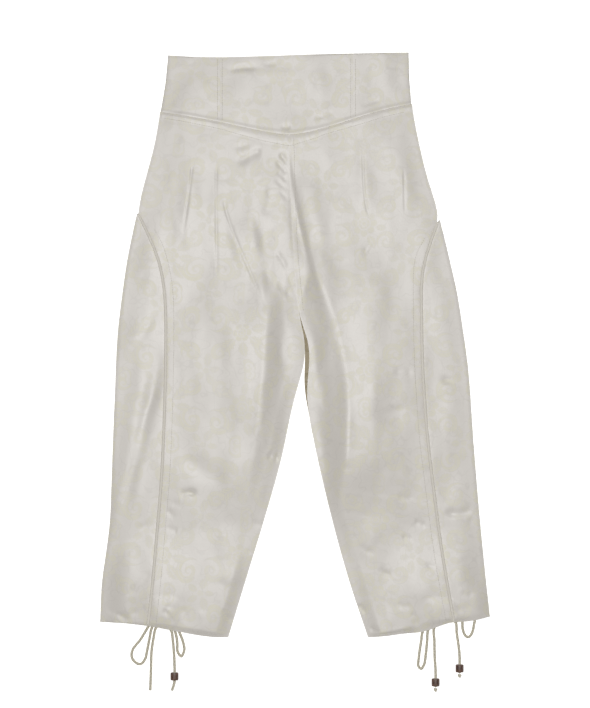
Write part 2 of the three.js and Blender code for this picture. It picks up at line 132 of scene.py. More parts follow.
def new_mesh(name, points, faces):
    mesh = bpy.data.meshes.new(name)
    mesh.from_pydata([tuple(p) for p in points], [], faces)
    mesh.update()
    piece = bpy.data.objects.new(name, mesh)
    bpy.context.scene.collection.objects.link(piece)
    return piece


def apply_all(piece):
    only(piece)
    for modifier in list(piece.modifiers):
        bpy.ops.object.modifier_apply(modifier=modifier.name)


def place_in_mesh(piece):
    only(piece)
    bpy.ops.object.transform_apply(location=True, rotation=True, scale=True)


def triangles(piece):
    return sum(len(face.vertices) - 2 for face in piece.data.polygons)


def smoothstep(value, start, end):
    share = np.clip((value - start) / (end - start), 0.0, 1.0)
    return share * share * (3.0 - 2.0 * share)


# %% [markdown]
# ## Laces
#
# Each leg is laced at the hem with a round cotton cord, 4 mm thick, tied in a bow: two loops and two ends
# come out from under the cloth. A free cord is easiest to lay as a route: a few listed points, joined by
# one smooth curve. The cord is braided, so its round section is pushed in and out along two sets of
# strands that wind against each other. The routes are those of the solids, and so is the way that each
# lace leaves its knot, drops from between the layers to the surface, and runs level through its bead.

# %% Lace sizes and routes
LACE = 4.0
KNOT_RADIUS = 8.0
LEAVE_GAP = 0.3
HEIGHT_INSIDE = 3.5
HEIGHT_OUTSIDE = 2.0
HEM_CLEAR = 7.0
HEM_REACH = 22.0
BEAD_RADIUS = 6.0
BEAD_LENGTH = 11.6
BEAD_LEAD = 18.0
BEAD_TRAIL = 2.0
TAIL_LIFT = 3.0
LACE_STEP = 0.4
# The hem where the laces cross it, as (x, y) on the plan.
HEM = [(-294, -415.5), (-234, -419.5), (-174, -430), (-132, -437.5), (160, -433.5), (193, -429)]
HEM += [(230, -416.5), (261, -414), (293, -407)]

LACES = {
    "left": {
        "outer_loop": {
            "leave": -165,
            "route": [(-221.5, -423), (-233, -442), (-245, -458), (-246, -469), (-240, -477), (-233, -479)]
            + [(-226.5, -472), (-223, -458), (-219.5, -440), (-216, -424.5)],
            "back": -135,
        },
        "long_end": {
            "leave": -105,
            "route": [(-210.3, -425.5), (-213.5, -440), (-216.5, -460), (-217.5, -490), (-218.5, -519)],
        },
        "beaded_end": {
            "leave": -75,
            "route": [(-187, -429), (-184.5, -445), (-183, -462)],
            "bead": (-182, -497),
            "tail": (-186, -519),
        },
        "inner_loop": {
            "leave": -15,
            "route": [(-175.5, -430), (-169, -447), (-167.5, -458), (-172, -467.5), (-177.5, -460)]
            + [(-178, -447), (-181.3, -430)],
            "back": -45,
        },
    },
    "right": {
        "inner_loop": {
            "leave": -165,
            "route": [(190, -430), (187.5, -445), (184, -470), (183.5, -482), (187.5, -486), (192, -480)]
            + [(194.5, -465), (196.5, -445), (198, -428.5)],
            "back": -135,
        },
        "inner_end": {
            "leave": -105,
            "route": [(207, -425), (207.5, -445), (208, -470)],
            "bead": (209, -506),
        },
        "outer_end": {
            "leave": -75,
            "route": [(238.5, -415.5), (241, -433), (243.5, -450)],
            "bead": (245, -485),
        },
        "outer_loop": {
            "leave": -45,
            "route": [(247.5, -411), (250, -427), (254, -436.5), (259, -438.5), (264, -432)]
            + [(266.5, -421), (267, -410)],
            "back": -15,
        },
    },
}


def leave_points(knot, degrees):
    angle = math.radians(degrees)
    return [
        (knot[0] + radius * math.cos(angle), knot[1] + radius * math.sin(angle), HEIGHT_INSIDE)
        for radius in (KNOT_RADIUS + LEAVE_GAP, KNOT_RADIUS + LACE)
    ]


def lace_height(x, y):
    outside = np.interp(x, *zip(*HEM)) - y
    return float(HEIGHT_INSIDE + (HEIGHT_OUTSIDE - HEIGHT_INSIDE) * smoothstep(outside, HEM_CLEAR, HEM_REACH))


def lace_points(knot, lace):
    points = leave_points(knot, lace["leave"])
    points += [(x, y, lace_height(x, y)) for x, y in lace["route"]]
    if "back" in lace:
        points += leave_points(knot, lace["back"])[::-1]
    if "bead" in lace:
        x, y = lace["bead"]
        points += [(x, y + BEAD_LEAD, BEAD_RADIUS), (x, y - BEAD_LENGTH / 2 - BEAD_TRAIL, BEAD_RADIUS)]
    if "tail" in lace:
        points += [(*lace["tail"], HEIGHT_OUTSIDE + TAIL_LIFT)]
    return [at(*p) for p in points]


# %% [markdown]
# A curve through the points is needed twice: as the line that the braid follows, and as the length that a
# maker would cut. The spline is centripetal, the same kind as in the solids, so it makes no
# stray loops where the points are close together.

# %% A smooth curve through points


def smooth_curve(points, step):
    pts = [2 * points[0] - points[1], *points, 2 * points[-1] - points[-2]]
    line = []
    for a, b, c, d in zip(pts, pts[1:], pts[2:], pts[3:]):
        knots = [0.0]
        for p, q in ((a, b), (b, c), (c, d)):
            knots.append(knots[-1] + max((q - p).length ** 0.5, 1e-6))
        t0, t1, t2, t3 = knots
        count = max(int((c - b).length / step), 2)
        for i in range(count):
            t = t1 + (t2 - t1) * i / count
            a1 = a * ((t1 - t) / (t1 - t0)) + b * ((t - t0) / (t1 - t0))
            a2 = b * ((t2 - t) / (t2 - t1)) + c * ((t - t1) / (t2 - t1))
            a3 = c * ((t3 - t) / (t3 - t2)) + d * ((t - t2) / (t3 - t2))
            b1 = a1 * ((t2 - t) / (t2 - t0)) + a2 * ((t - t0) / (t2 - t0))
            b2 = a2 * ((t3 - t) / (t3 - t1)) + a3 * ((t - t1) / (t3 - t1))
            line.append(b1 * ((t2 - t) / (t2 - t1)) + b2 * ((t - t1) / (t2 - t1)))
    return line + [points[-1].copy()]


def even_steps(line, step):
    lengths = np.cumsum([0.0] + [(q - p).length for p, q in zip(line, line[1:])])
    count = max(int(round(lengths[-1] / step)), 2)
    wanted = np.linspace(0.0, lengths[-1], count + 1)
    xyz = np.array(line)
    return np.stack([np.interp(wanted, lengths, xyz[:, k]) for k in range(3)], axis=1), lengths[-1]


# %% [markdown]
# The braid: the section has 24 points. Two waves wind round the cord in opposite directions, and the
# higher of the two is where a strand lies on top. A cut end is drawn in and closed like a
# cord dipped in wax. The UV map runs round and along the cord, so that the material can follow it.

# %% A braided tube along a line
BRAID_SIDES = 24
BRAID_STRANDS = 4
BRAID_PITCH = 9 * MM
BRAID_RELIEF = 0.1
BRAID_FULL = 1.08
BRAID_STEP = 0.75 * MM
# How many rings round off a cut end, and the radius of that rounding, counted in rings.
END_RINGS = 2
END_BALL = 2.4


def braided_tube(name, line, diameter):
    path, length = even_steps(line, BRAID_STEP)
    count = len(path)
    tangents = np.gradient(path, axis=0)
    tangents /= np.linalg.norm(tangents, axis=1)[:, None]
    sideways = np.cross(tangents, [0.0, 0.0, 1.0])
    sideways /= np.linalg.norm(sideways, axis=1)[:, None]
    upwards = np.cross(sideways, tangents)
    along = np.linspace(0.0, length, count)
    points = []
    for i in range(count):
        from_end = min(i, count - 1 - i, END_RINGS)
        rounding = math.sqrt(1 - (1 - from_end / END_BALL) ** 2)
        for k in range(BRAID_SIDES):
            turn = 2 * math.pi * k / BRAID_SIDES
            wave = 2 * math.pi * along[i] / BRAID_PITCH
            strand = max(math.sin(BRAID_STRANDS * turn + wave), math.sin(BRAID_STRANDS * turn - wave))
            radius = diameter / 2 * (BRAID_FULL - BRAID_RELIEF * (1 - strand)) * rounding
            points.append(path[i] + radius * (math.cos(turn) * sideways[i] + math.sin(turn) * upwards[i]))
    faces = []
    for i in range(count - 1):
        for k in range(BRAID_SIDES):
            a = i * BRAID_SIDES + k
            b = i * BRAID_SIDES + (k + 1) % BRAID_SIDES
            faces.append((a, a + BRAID_SIDES, b + BRAID_SIDES, b))
    faces.append(tuple(range(BRAID_SIDES)))
    faces.append(tuple(reversed(range((count - 1) * BRAID_SIDES, count * BRAID_SIDES))))
    piece = new_mesh(name, points, faces)
    mesh_normals_out(piece)
    uv = piece.data.uv_layers.new(name="UVMap")
    for face in piece.data.polygons:
        closing = any(vertex % BRAID_SIDES == BRAID_SIDES - 1 for vertex in face.vertices)
        for loop, vertex in zip(face.loop_indices, face.vertices):
            ring, side = divmod(vertex, BRAID_SIDES)
            turns = 1.0 if closing and side == 0 else side / BRAID_SIDES
            uv.data[loop].uv = (turns * math.pi * diameter, along[ring])
    return piece, path, length


def mesh_normals_out(piece):
    only(piece)
    bpy.ops.object.mode_set(mode="EDIT")
    bpy.ops.mesh.select_all(action="SELECT")
    bpy.ops.mesh.normals_make_consistent(inside=False)
    bpy.ops.object.mode_set(mode="OBJECT")
    bpy.ops.object.shade_smooth()


def dress(piece, slot, *nodes):
    if nodes:
        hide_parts(*nodes)
    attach(piece, "root")


# %% Lay the laces
for side, bow in LACES.items():
    for lace_name, lace in bow.items():
        node = f"lace_{side}_{lace_name}"
        line = smooth_curve(lace_points(PLAN_KNOTS[side], lace), LACE_STEP * MM)
        piece, path, length = braided_tube(f"{node}_braid", line, LACE * MM)
        dress(piece, "lace", node)
        print(node, round(length / MM), "mm,", triangles(piece), "triangles")

# %% [markdown]
# ## Knots
#
# The knot of each bow lies just inside the leg, and a small knot stops a bead from sliding off its lace.
# An overhand knot is the same loop as a trefoil: the strand goes round twice while it goes up and down
# three times. Pulled tight, the strand is pressed flat, so the tube is wider than it is high. The small
# ones are tied in the thin core of the cord.

# %% Tied knots
KNOT_OPEN = 0.16
KNOT_STEPS = 200
# Width and height of the strand, pressed flat in a bow's knot and round in a stopper knot.
BOW_STRAND = (4.0, 2.5)
STOPPER_STRAND = (2.4, 2.4)


def tied_knot(name, node, strand):
    strand_width, strand_height = [size * MM for size in strand]
    low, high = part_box(node)
    centre = (low + high) / 2
    reach = (high.x - low.x) / 2
    wide = (reach - strand_width / 2) / 3
    climb = (high.z - low.z - strand_height) / 2
    line = []
    for t in np.linspace(KNOT_OPEN, 2 * math.pi - KNOT_OPEN, KNOT_STEPS):
        x = wide * (math.sin(t) + 2 * math.sin(2 * t))
        y = wide * (math.cos(t) - 2 * math.cos(2 * t))
        line.append(centre + Vector((x, y, -climb * math.sin(3 * t))))
    piece, path, length = braided_tube(name, line, strand_width)
    flatten_strand(piece, path, strand_height / strand_width)
    dress(piece, "lace", node)
    return piece


def flatten_strand(piece, path, share):
    for i, vertex in enumerate(piece.data.vertices):
        middle = path[i // BRAID_SIDES][2]
        vertex.co.z = middle + (vertex.co.z - middle) * share


for side in LACES:
    tied_knot(f"knot_{side}_tied", f"knot_{side}", BOW_STRAND)
for end in ("inner_end", "outer_end"):
    stopper = f"stopper_{end}"
    tied_knot(f"{stopper}_tied", f"stopper_right_{end}", STOPPER_STRAND)
print("four knots tied")

# %% [markdown]
# ## Wooden beads
#
# The beads are short eight-sided drums of dark wood with worn rims and a hole for the lace. A cylinder
# with eight sides is the blank. Its two ends are inset to the size of the hole, the inner faces go, and
# their rims are bridged, which drills the bead. A bevel takes the sharpness off every
# edge, as tumbling does, and a subdivision rounds it.

# %% Drill and round the beads
BEAD_SIDES = 8
BEAD_HOLE = 2.55
BEAD_BEVEL = 1.1
BEAD_EDGE = math.radians(30)


def wooden_bead(name, node):
    low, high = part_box(node)
    centre = (low + high) / 2
    flat = BEAD_RADIUS * MM
    bpy.ops.object.select_all(action="DESELECT")
    bpy.ops.mesh.primitive_cylinder_add(
        vertices=BEAD_SIDES, radius=flat / math.cos(math.pi / BEAD_SIDES), depth=BEAD_LENGTH * MM
    )
    piece = bpy.context.object
    piece.name = name
    piece.data.name = name
    piece.rotation_euler = (0, 0, math.pi / BEAD_SIDES)
    place_in_mesh(piece)
    piece.rotation_euler = (math.pi / 2, 0, 0)
    piece.location = centre
    place_in_mesh(piece)
    bpy.ops.object.mode_set(mode="EDIT")
    bpy.ops.mesh.select_mode(type="FACE")
    bpy.ops.mesh.select_all(action="DESELECT")
    bm = bmesh.from_edit_mesh(piece.data)
    for face in bm.faces:
        face.select_set(abs(face.normal.y) > 0.9)
    bmesh.update_edit_mesh(piece.data)
    bpy.ops.mesh.inset(thickness=(BEAD_RADIUS - BEAD_HOLE) * MM, use_individual=True)
    bpy.ops.mesh.delete(type="ONLY_FACE")
    bpy.ops.mesh.select_mode(type="EDGE")
    bpy.ops.mesh.select_all(action="DESELECT")
    bpy.ops.mesh.select_non_manifold()
    bpy.ops.mesh.bridge_edge_loops()
    bpy.ops.object.mode_set(mode="OBJECT")
    bevel = piece.modifiers.new("worn rims", "BEVEL")
    bevel.width = BEAD_BEVEL * MM
    bevel.segments = 2
    bevel.limit_method = "ANGLE"
    bevel.angle_limit = BEAD_EDGE
    smooth = piece.modifiers.new("rounding", "SUBSURF")
    smooth.levels = smooth.render_levels = 2
    apply_all(piece)
    mesh_normals_out(piece)
    dress(piece, "bead", node)
    return piece


for node in ("bead_left_beaded_end", "bead_right_inner_end", "bead_right_outer_end"):
    wooden_bead(f"{node}_wood", node)

# %% [markdown]

# %% [markdown]
# ## From a cloth solid to a fine shell
#
# Each cloth solid has the true outline, the wall and the main folds of its piece, in a coarse grid of
# triangles. A copy is merged and its triangles are joined back into the grid. The edges at the rim are
# creased, so that a subdivision makes the surface smooth and fine but leaves the cut edge crisp. Two
# finishes go on: the right side of the cloth (0) faces out, the wrong side (1) faces the other layer.

# %% Copy, merge and subdivide
RIM_ANGLE = math.radians(78)
CORNER_ANGLE = math.radians(30)
SMOOTH_ANGLE = math.radians(25)
MERGE = 0.01
REGULAR = 1.5  # how strongly the joined faces keep to a regular grid
LAYER = {"leg": 2.7, "band": 3.9}  # height of both flat layers together
SHOWN_LAYER = {"leg": 1.5, "band": 2.1}  # height where the front layer starts


def kind_of(node):
    return "band" if node.startswith("waistband") else "leg"


def is_rim(edge):
    angle = edge.calc_face_angle(0.0)
    along = edge.verts[1].co - edge.verts[0].co
    upright = abs(along.z) > 0.9 * along.length
    return angle > RIM_ANGLE or (upright and angle > CORNER_ANGLE)


def cloth_shell(node, levels, row_cuts):
    piece = bpy.data.objects.new(f"{node}_cloth", NODES[node].data.copy())
    piece.data.materials.clear()
    bpy.context.scene.collection.objects.link(piece)
    only(piece)
    bpy.ops.object.mode_set(mode="EDIT")
    bpy.ops.mesh.select_mode(type="EDGE")
    bpy.ops.mesh.select_all(action="SELECT")
    bpy.ops.mesh.remove_doubles(threshold=MERGE * MM)
    bpy.ops.mesh.tris_convert_to_quads(
        face_threshold=math.pi, shape_threshold=math.pi, topology_influence=REGULAR
    )
    if row_cuts:
        bm = bmesh.from_edit_mesh(piece.data)
        for edge in bm.edges:
            along = edge.verts[1].co - edge.verts[0].co
            edge.select_set(abs(along.y) > 0.7 * along.length)
        bmesh.update_edit_mesh(piece.data)
        bpy.ops.mesh.subdivide(number_cuts=row_cuts)
    bm = bmesh.from_edit_mesh(piece.data)
    crease = bm.edges.layers.float.new("crease_edge")
    for edge in bm.edges:
        edge[crease] = 1.0 if is_rim(edge) else 0.0
    bmesh.update_edit_mesh(piece.data)
    bpy.ops.object.mode_set(mode="OBJECT")
    fine = piece.modifiers.new("fine grid", "SUBSURF")
    fine.levels = fine.render_levels = levels
    apply_all(piece)
    return piece


# %% [markdown]
# ## Creases
#
# The solids carry the main folds, low and soft. The broad creases lift the two that run down the legs much
# higher, the pleats get a sharp crease along them, and the others are smaller folds and wrinkles. Each is
# written as a maker would describe it: where it starts, bends and ends, how wide it is on each side, and
# how high it stands or, with a minus, how deep it sinks. A crease is a curve on the plan. Every point of the
# cloth is moved by what its distance from the curve says, less towards both ends, and unevenly on the way.

# %% The creases, in millimetres on the plan
# (start), (bend), (end), width on the left and on the right as seen from its end, height
PLEATS = [
    ((-157, 268), (-159, 239), (-173, 143), 1.6, 2.6, -0.78),
    ((-119, 270), (-120, 217), (-118, 84), 1.6, 2.6, -0.65),
    ((-107, 218), (-93, 165), (-35, 34), 1.7, 2.8, -0.72),
    ((100, 316), (102, 230), (111, 190), 1.6, 2.6, -0.65),
    ((162, 268), (162, 232), (163, 192), 1.6, 2.6, -0.59),
]
BROAD = [
    ((8, 155), (80, -60), (48, -320), 20.0, 90.0, 12.0),
    ((30, 60), (34, -60), (50, -200), 12.0, 12.0, -1.4),
    ((-40, 140), (-56, -70), (-88, -300), 90.0, 21.0, 9.0),
    ((0, 285), (26, 180), (58, 60), 8.0, 18.0, 0.8),
    ((-196, 10), (-233, -140), (-278, -325), 11.0, 12.0, -2.6),
    ((-215, 40), (-256, -60), (-278, -160), 10.0, 12.0, -0.5),
    ((-30, 270), (-60, 200), (-66, 120), 16.0, 14.0, 1.6),
    ((-28, 200), (-48, 140), (-42, 70), 10.0, 14.0, -0.8),
    ((-90, 120), (-110, 40), (-70, -20), 30.0, 22.0, 1.4),
    ((110, 130), (120, 0), (112, -150), 22.0, 26.0, 1.4),
    ((-170, -160), (-140, -190), (-100, -205), 12.0, 14.0, -1.2),
    ((110, -90), (140, -110), (180, -104), 10.0, 12.0, -1.2),
    ((90, -230), (110, -270), (100, -330), 14.0, 18.0, 1.3),
    ((-120, -260), (-100, -320), (-110, -370), 16.0, 18.0, 1.3),
    ((-184, 425), (-180, 390), (-186, 352), 8.0, 12.0, -1.0),
    ((160, 428), (156, 400), (164, 372), 12.0, 8.0, -1.0),
    ((-110, 412), (-40, 416), (50, 412), 7.0, 9.0, -0.3),
]
LEFT_LEG = [
    ((-50, 291), (-68, 284), (-92, 270), 4.5, 7.0, -1.5),
    ((-66, 300), (-80, 298), (-98, 294), 3.0, 5.0, -0.6),
    ((-27, 287), (-19, 279), (-12, 268), 3.0, 4.0, -1.1),
    ((-32, 276), (-22, 266), (-13, 254), 3.0, 4.0, -1),
    ((-30, 260), (-21, 252), (-12, 242), 2.6, 3.4, -0.68),
    ((-34, 248), (-23, 240), (-12, 228), 2.6, 3.6, -0.68),
    ((-28, 232), (-20, 225), (-12, 214), 2.6, 3.6, -0.52),
    ((-66, 204), (-54, 170), (-42, 120), 8.0, 10.0, -1.0),
    ((-46, 122), (-41, 88), (-46, 46), 7.0, 9.0, -1.3),
    ((-44, 250), (-40, 215), (-50, 190), 6.0, 8.0, -0.75),
    ((-32, 138), (-22, 128), (-14, 112), 3.0, 4.0, -1),
    ((-30, 92), (-18, 82), (-6, 74), 3.0, 4.5, -0.98),
    ((-142, 205), (-133, 150), (-138, 92), 7.0, 9.0, 0.26),
    ((-186, 205), (-178, 178), (-180, 139), 5.0, 8.0, 0.3),
    ((-28, 23), (-24, -8), (-27, -36), 5.0, 7.0, -0.6),
    ((-44, -44), (-41, -92), (-51, -130), 5.0, 8.0, -0.52),
    ((-51, -128), (-55, -150), (-49, -172), 5.0, 8.0, -0.38),
    ((-44, -163), (-34, -169), (-24, -170), 4.0, 6.0, -1.7),
    ((-95, -60), (-88, -130), (-104, -205), 10.0, 14.0, 0.3),
    ((-150, -20), (-143, -90), (-158, -170), 9.0, 12.0, 0.26),
    ((-174, -227), (-162, -223), (-145, -225), 3.6, 5.5, -1.7),
    ((-197, -250), (-189, -253), (-181, -262), 3.0, 4.5, -0.52),
    ((-194, -272), (-186, -278), (-176, -281), 3.0, 4.5, -0.45),
    ((-190, -238), (-178, -240), (-168, -246), 3.5, 4.5, -0.34),
    ((-66, -262), (-57, -270), (-47, -272), 3.5, 5.0, -0.38),
    ((-88, -300), (-76, -309), (-62, -310), 4.0, 6.0, -0.26),
    ((-120, -352), (-103, -362), (-83, -362), 5.0, 7.0, -0.3),
    ((-197, -389), (-188, -394), (-177, -396), 3.0, 4.5, -0.45),
    ((-202, -397), (-191, -405), (-183, -420), 3.0, 4.5, -0.68),
    ((-172, -392), (-166, -404), (-164, -424), 4.0, 5.0, -0.38),
    ((-146, -398), (-140, -410), (-141, -431), 5.0, 6.0, 0.26),
    ((-112, -398), (-104, -406), (-97, -419), 5.0, 6.0, -0.45),
]
LEFT_PANEL = [
    ((-208, 58), (-232, 12), (-264, -26), 5.0, 7.0, -0.8),
    ((-203, -50), (-222, -98), (-234, -145), 5.0, 7.0, -0.6),
    ((-235, -150), (-250, -200), (-262, -240), 5.0, 8.0, -0.7),
    ((-262, -245), (-268, -285), (-274, -318), 4.0, 7.0, -0.5),
    ((-222, 120), (-232, 96), (-246, 86), 5.0, 7.0, -0.4),
    ((-213, -336), (-233, -357), (-256, -379), 5.0, 6.5, -0.8),
    ((-288, -396), (-268, -404), (-248, -415), 4.0, 6.0, -1.8),
    ((-224, -392), (-236, -400), (-252, -402), 4.0, 6.0, -0.4),
    ((-217, -262), (-226, -272), (-240, -273), 4.0, 6.0, -0.35),
]
RIGHT_LEG = [
    ((-16, 300), (5, 180), (42, 30), 13.0, 5.0, -2.6),
    ((22, 268), (31, 190), (55, 110), 8.0, 12.0, 0.45),
    ((68, 250), (70, 190), (84, 120), 9.0, 11.0, 0.35),
    ((99, 133), (107, 143), (115, 158), 3.0, 4.5, -0.8),
    ((173, 300), (178, 291), (186, 287), 3.0, 4.0, -0.5),
    ((188, 247), (196, 237), (203, 233), 3.0, 4.0, -0.5),
    ((132, 224), (140, 165), (138, 108), 7.0, 9.0, 0.35),
    ((144, -44), (160, -41), (177, -44), 3.0, 4.5, -0.9),
    ((122, -110), (146, -99), (175, -95), 4.0, 6.0, -0.6),
    ((118, -20), (113, -90), (124, -160), 9.0, 12.0, 0.35),
    ((176, -263), (186, -269), (196, -270), 3.0, 4.0, -0.7),
    ((157, -286), (167, -291), (176, -290), 3.0, 4.5, -0.6),
    ((192, -325), (201, -332), (211, -331), 3.0, 4.5, -0.6),
    ((150, -226), (163, -231), (178, -228), 3.5, 5.0, -0.45),
    ((122, -336), (133, -343), (146, -346), 3.5, 5.0, -0.7),
    ((96, -300), (106, -309), (121, -313), 4.0, 5.0, -0.4),
    ((94, -388), (98, -396), (107, -402), 3.5, 5.0, -0.7),
    ((112, -421), (117, -428), (127, -431), 3.5, 5.0, -0.8),
    ((150, -385), (161, -392), (174, -389), 4.0, 5.0, -0.4),
    ((170, -402), (178, -410), (179, -426), 4.0, 5.0, -0.5),
    ((134, -398), (139, -408), (138, -430), 5.0, 6.0, 0.35),
    ((60, -178), (72, -185), (88, -184), 4.0, 6.0, -0.45),
]
RIGHT_PANEL = [
    ((207, 40), (217, 45), (229, 47), 3.0, 5.0, -0.51),
    ((210, 106), (217, 103), (224, 105), 3.0, 4.5, -0.34),
    ((212, -50), (235, -56), (262, -58), 3.5, 5.5, -1.4),
    ((222, -70), (236, -74), (247, -72), 3.5, 5.0, -0.34),
    ((221, -250), (246, -254), (270, -244), 4.5, 7.0, -2),
    ((256, -262), (268, -264), (282, -258), 4.0, 5.5, -1.5),
    ((246, -370), (256, -375), (269, -374), 3.5, 5.0, -0.51),
    ((236, -160), (249, -157), (262, -160), 4.0, 6.0, -0.34),
    ((240, -332), (250, -326), (268, -324), 4.0, 5.0, -0.34),
    ((238, -402), (248, -396), (262, -398), 4.0, 5.0, -0.34),
]
WAISTBAND = [
    ((-104, 409), (-80, 414), (-52, 414), 3.5, 5.0, -0.9),
    ((-48, 416), (-38, 420), (-26, 419), 3.0, 4.0, -0.45),
    ((-24, 328), (-15, 325), (-6, 328), 3.0, 4.5, -0.8),
    ((-196, 366), (-190, 362), (-182, 362), 2.5, 4.0, -0.6),
    ((162, 372), (170, 371), (178, 373), 2.5, 4.0, -0.6),
    ((160, 363), (169, 364), (176, 362), 2.5, 3.5, -0.5),
    ((134, 418), (148, 415), (162, 419), 3.0, 5.0, -0.5),
    ((24, 338), (40, 342), (58, 349), 3.0, 5.0, -0.5),
    ((96, 357), (112, 362), (128, 368), 3.0, 5.0, -0.4),
    ((-140, 398), (-128, 380), (-130, 357), 4.0, 6.0, 0.3),
    ((30, 420), (36, 395), (30, 366), 7.0, 9.0, 0.3),
]
CREASES = BROAD + PLEATS + LEFT_LEG + LEFT_PANEL + RIGHT_LEG + RIGHT_PANEL + WAISTBAND
CREASE_POINTS = 17
CREASE_TAPER = 0.3
CREASE_REACH = 3  # how many of its widths away a crease still moves the cloth
print(len(CREASES), "creases placed by hand")

# %% How far the creases move the cloth


def crease_height(crease, x, y):
    start, bend, end, left, right, height = crease
    t = np.linspace(0.0, 1.0, CREASE_POINTS)
    # The curve is pulled so far that it passes through the bend halfway.
    through = [2 * b - (a + c) / 2 for a, b, c in zip(start, bend, end)]
    line = [(1 - t) ** 2 * a + 2 * t * (1 - t) * b + t * t * c for a, b, c in zip(start, through, end)]
    reach = CREASE_REACH * max(left, right)
    near = (x > line[0].min() - reach) & (x < line[0].max() + reach)
    near &= (y > line[1].min() - reach) & (y < line[1].max() + reach)
    moved = np.zeros_like(x)
    if not near.any():
        return moved
    px, py = x[near], y[near]
    best = np.full(px.shape, np.inf)
    share = np.zeros(px.shape)
    off = np.zeros(px.shape)
    for i in range(CREASE_POINTS - 1):
        ax, ay = line[0][i], line[1][i]
        dx, dy = line[0][i + 1] - ax, line[1][i + 1] - ay
        size = dx * dx + dy * dy
        s = np.clip(((px - ax) * dx + (py - ay) * dy) / size, 0.0, 1.0)
        distance = np.hypot(px - ax - s * dx, py - ay - s * dy)
        closer = distance < best
        best[closer] = distance[closer]
        share[closer] = (i + s[closer]) / (CREASE_POINTS - 1)
        off[closer] = ((px - ax) * dy - (py - ay) * dx)[closer]
    width = np.where(off > 0, left, right)
    ends = smoothstep(share, 0.0, CREASE_TAPER) * smoothstep(1.0 - share, 0.0, CREASE_TAPER)
    uneven = 0.8 + 0.2 * np.sin(9.0 * share + start[0])
    moved[near] = height * ends * uneven * np.exp(-((best / width) ** 2))
    return moved


# %% [markdown]
# ## Seams and edges
#
# Where a piece is sewn or folded it turns in and gets lower, so each shell dips towards its rim. The rim is
# also moved out a hair, up to the next piece, which closes the seam. Along the V seam the allowances make a
# firm ridge on the waistband. The front layer holds a little air, so it lies higher than its solid except
# at the edges, and it rises gently over the knots. The rest of the cloth is never quite level, and a slow
# noise, longer down the leg than across, gives it that.

# %% Dips at the rims, the ridge at the V seam and the slow waves
SEAM_DIP = {"leg": 0.2, "band": 0.1}
SEAM_WIDTH = 2.6
V_SEAM_DIP = {"leg": 0.4, "band": 0.0}
RIDGE_HEIGHT = 0.45
RIDGE_WIDTH = 2.6
RIDGE_INSET = 1.8
WAVE_HEIGHT = 1.5
WAVE_ACROSS = 46.0
WAVE_DOWN = 80.0
RIPPLE_HEIGHT = 0.2
RIPPLE_ACROSS = 17.0
RIPPLE_DOWN = 24.0
CLEAR_UNDER = 0.2
THINNEST = 0.4
SEAM_CLOSE = {"leg": 0.35, "band": 0.35}
V_SEAM_CLOSE = {"leg": 0.6, "band": 0.35}
AIR = 1.6
AIR_FADE = 22.0
AIR_ABOVE = (60.0, 120.0)  # from here up the two legs are one, and the air is full
OUTER_FADE = (0.5, 42.0)
# The inner edges of the legs, from the crotch down to the hem.
INNER_LEFT = [(4.2, 50), (14, 4), (14.5, -22), (8, -45), (-3.5, -83), (-22.5, -173), (-48, -263)]
INNER_LEFT += [(-102, -440)]
INNER_RIGHT = [(4.2, 50), (20, 4), (21.5, -22), (18, -45), (16, -83), (33, -173), (54.5, -263)]
INNER_RIGHT += [(108.5, -440)]
# Where the cloth rises over each knot: middle, half width, half length, height and fade.
OVER_KNOTS = [(-199, -410, 30, 30, 4.5, 110), (229, -408, 40, 30, 4.6, 110)]
LEAST_RISE = 0.05
# The V seam is the lower edge of the waistband. A rim within `AT_V` of it belongs to it, and the deeper dip
# along it fades out between the two distances of `NEAR_V`.
V_SEAM = [(-220, 351), (-170, 343.5), (-117, 334), (-51, 320), (-9, 314.5), (31.5, 321.5)]
V_SEAM += [(73.5, 334), (130.5, 351.5), (190, 363.5)]
AT_V = 4.0
NEAR_V = (2.0, 9.0)
# How far under the V seam its allowances are stitched down, as (x on the plan, distance).
STITCHED_DOWN = [(-220, 8), (-120, 10), (-58, 14), (-9, 17), (43, 10), (114, 11), (190, 9)]
ALLOWANCE_HEIGHT = 0.3
STITCH_GROOVE = 0.3
STITCH_GROOVE_WIDTH = 1.7
ROW_STEP = 1.5  # half the width of the step where the allowance ends


def v_seam(x):
    return np.interp(x, *zip(*V_SEAM))


def v_row(x):
    return v_seam(x) - np.interp(x, *zip(*STITCHED_DOWN))


def plan_of(points):
    return (points[:, 0] - PLAN_X) / MM, (points[:, 1] - PLAN_Y) / MM


def waves(x, y):
    moved = []
    for a, b in zip(x, y):
        wave = WAVE_HEIGHT * noise.noise((a / WAVE_ACROSS, b / WAVE_DOWN, 0.0))
        moved.append(wave + RIPPLE_HEIGHT * noise.noise((a / RIPPLE_ACROSS, b / RIPPLE_DOWN, 5.0)))
    return np.array(moved)


# %% [markdown]
# Three measures steer this, all seen from above: how far a point is from the outline of the whole garment,
# how high the cloth lies there, and how far it is from the nearest cut edge.

# %% The outline of the whole garment
OUTLINE_STEPS = 160


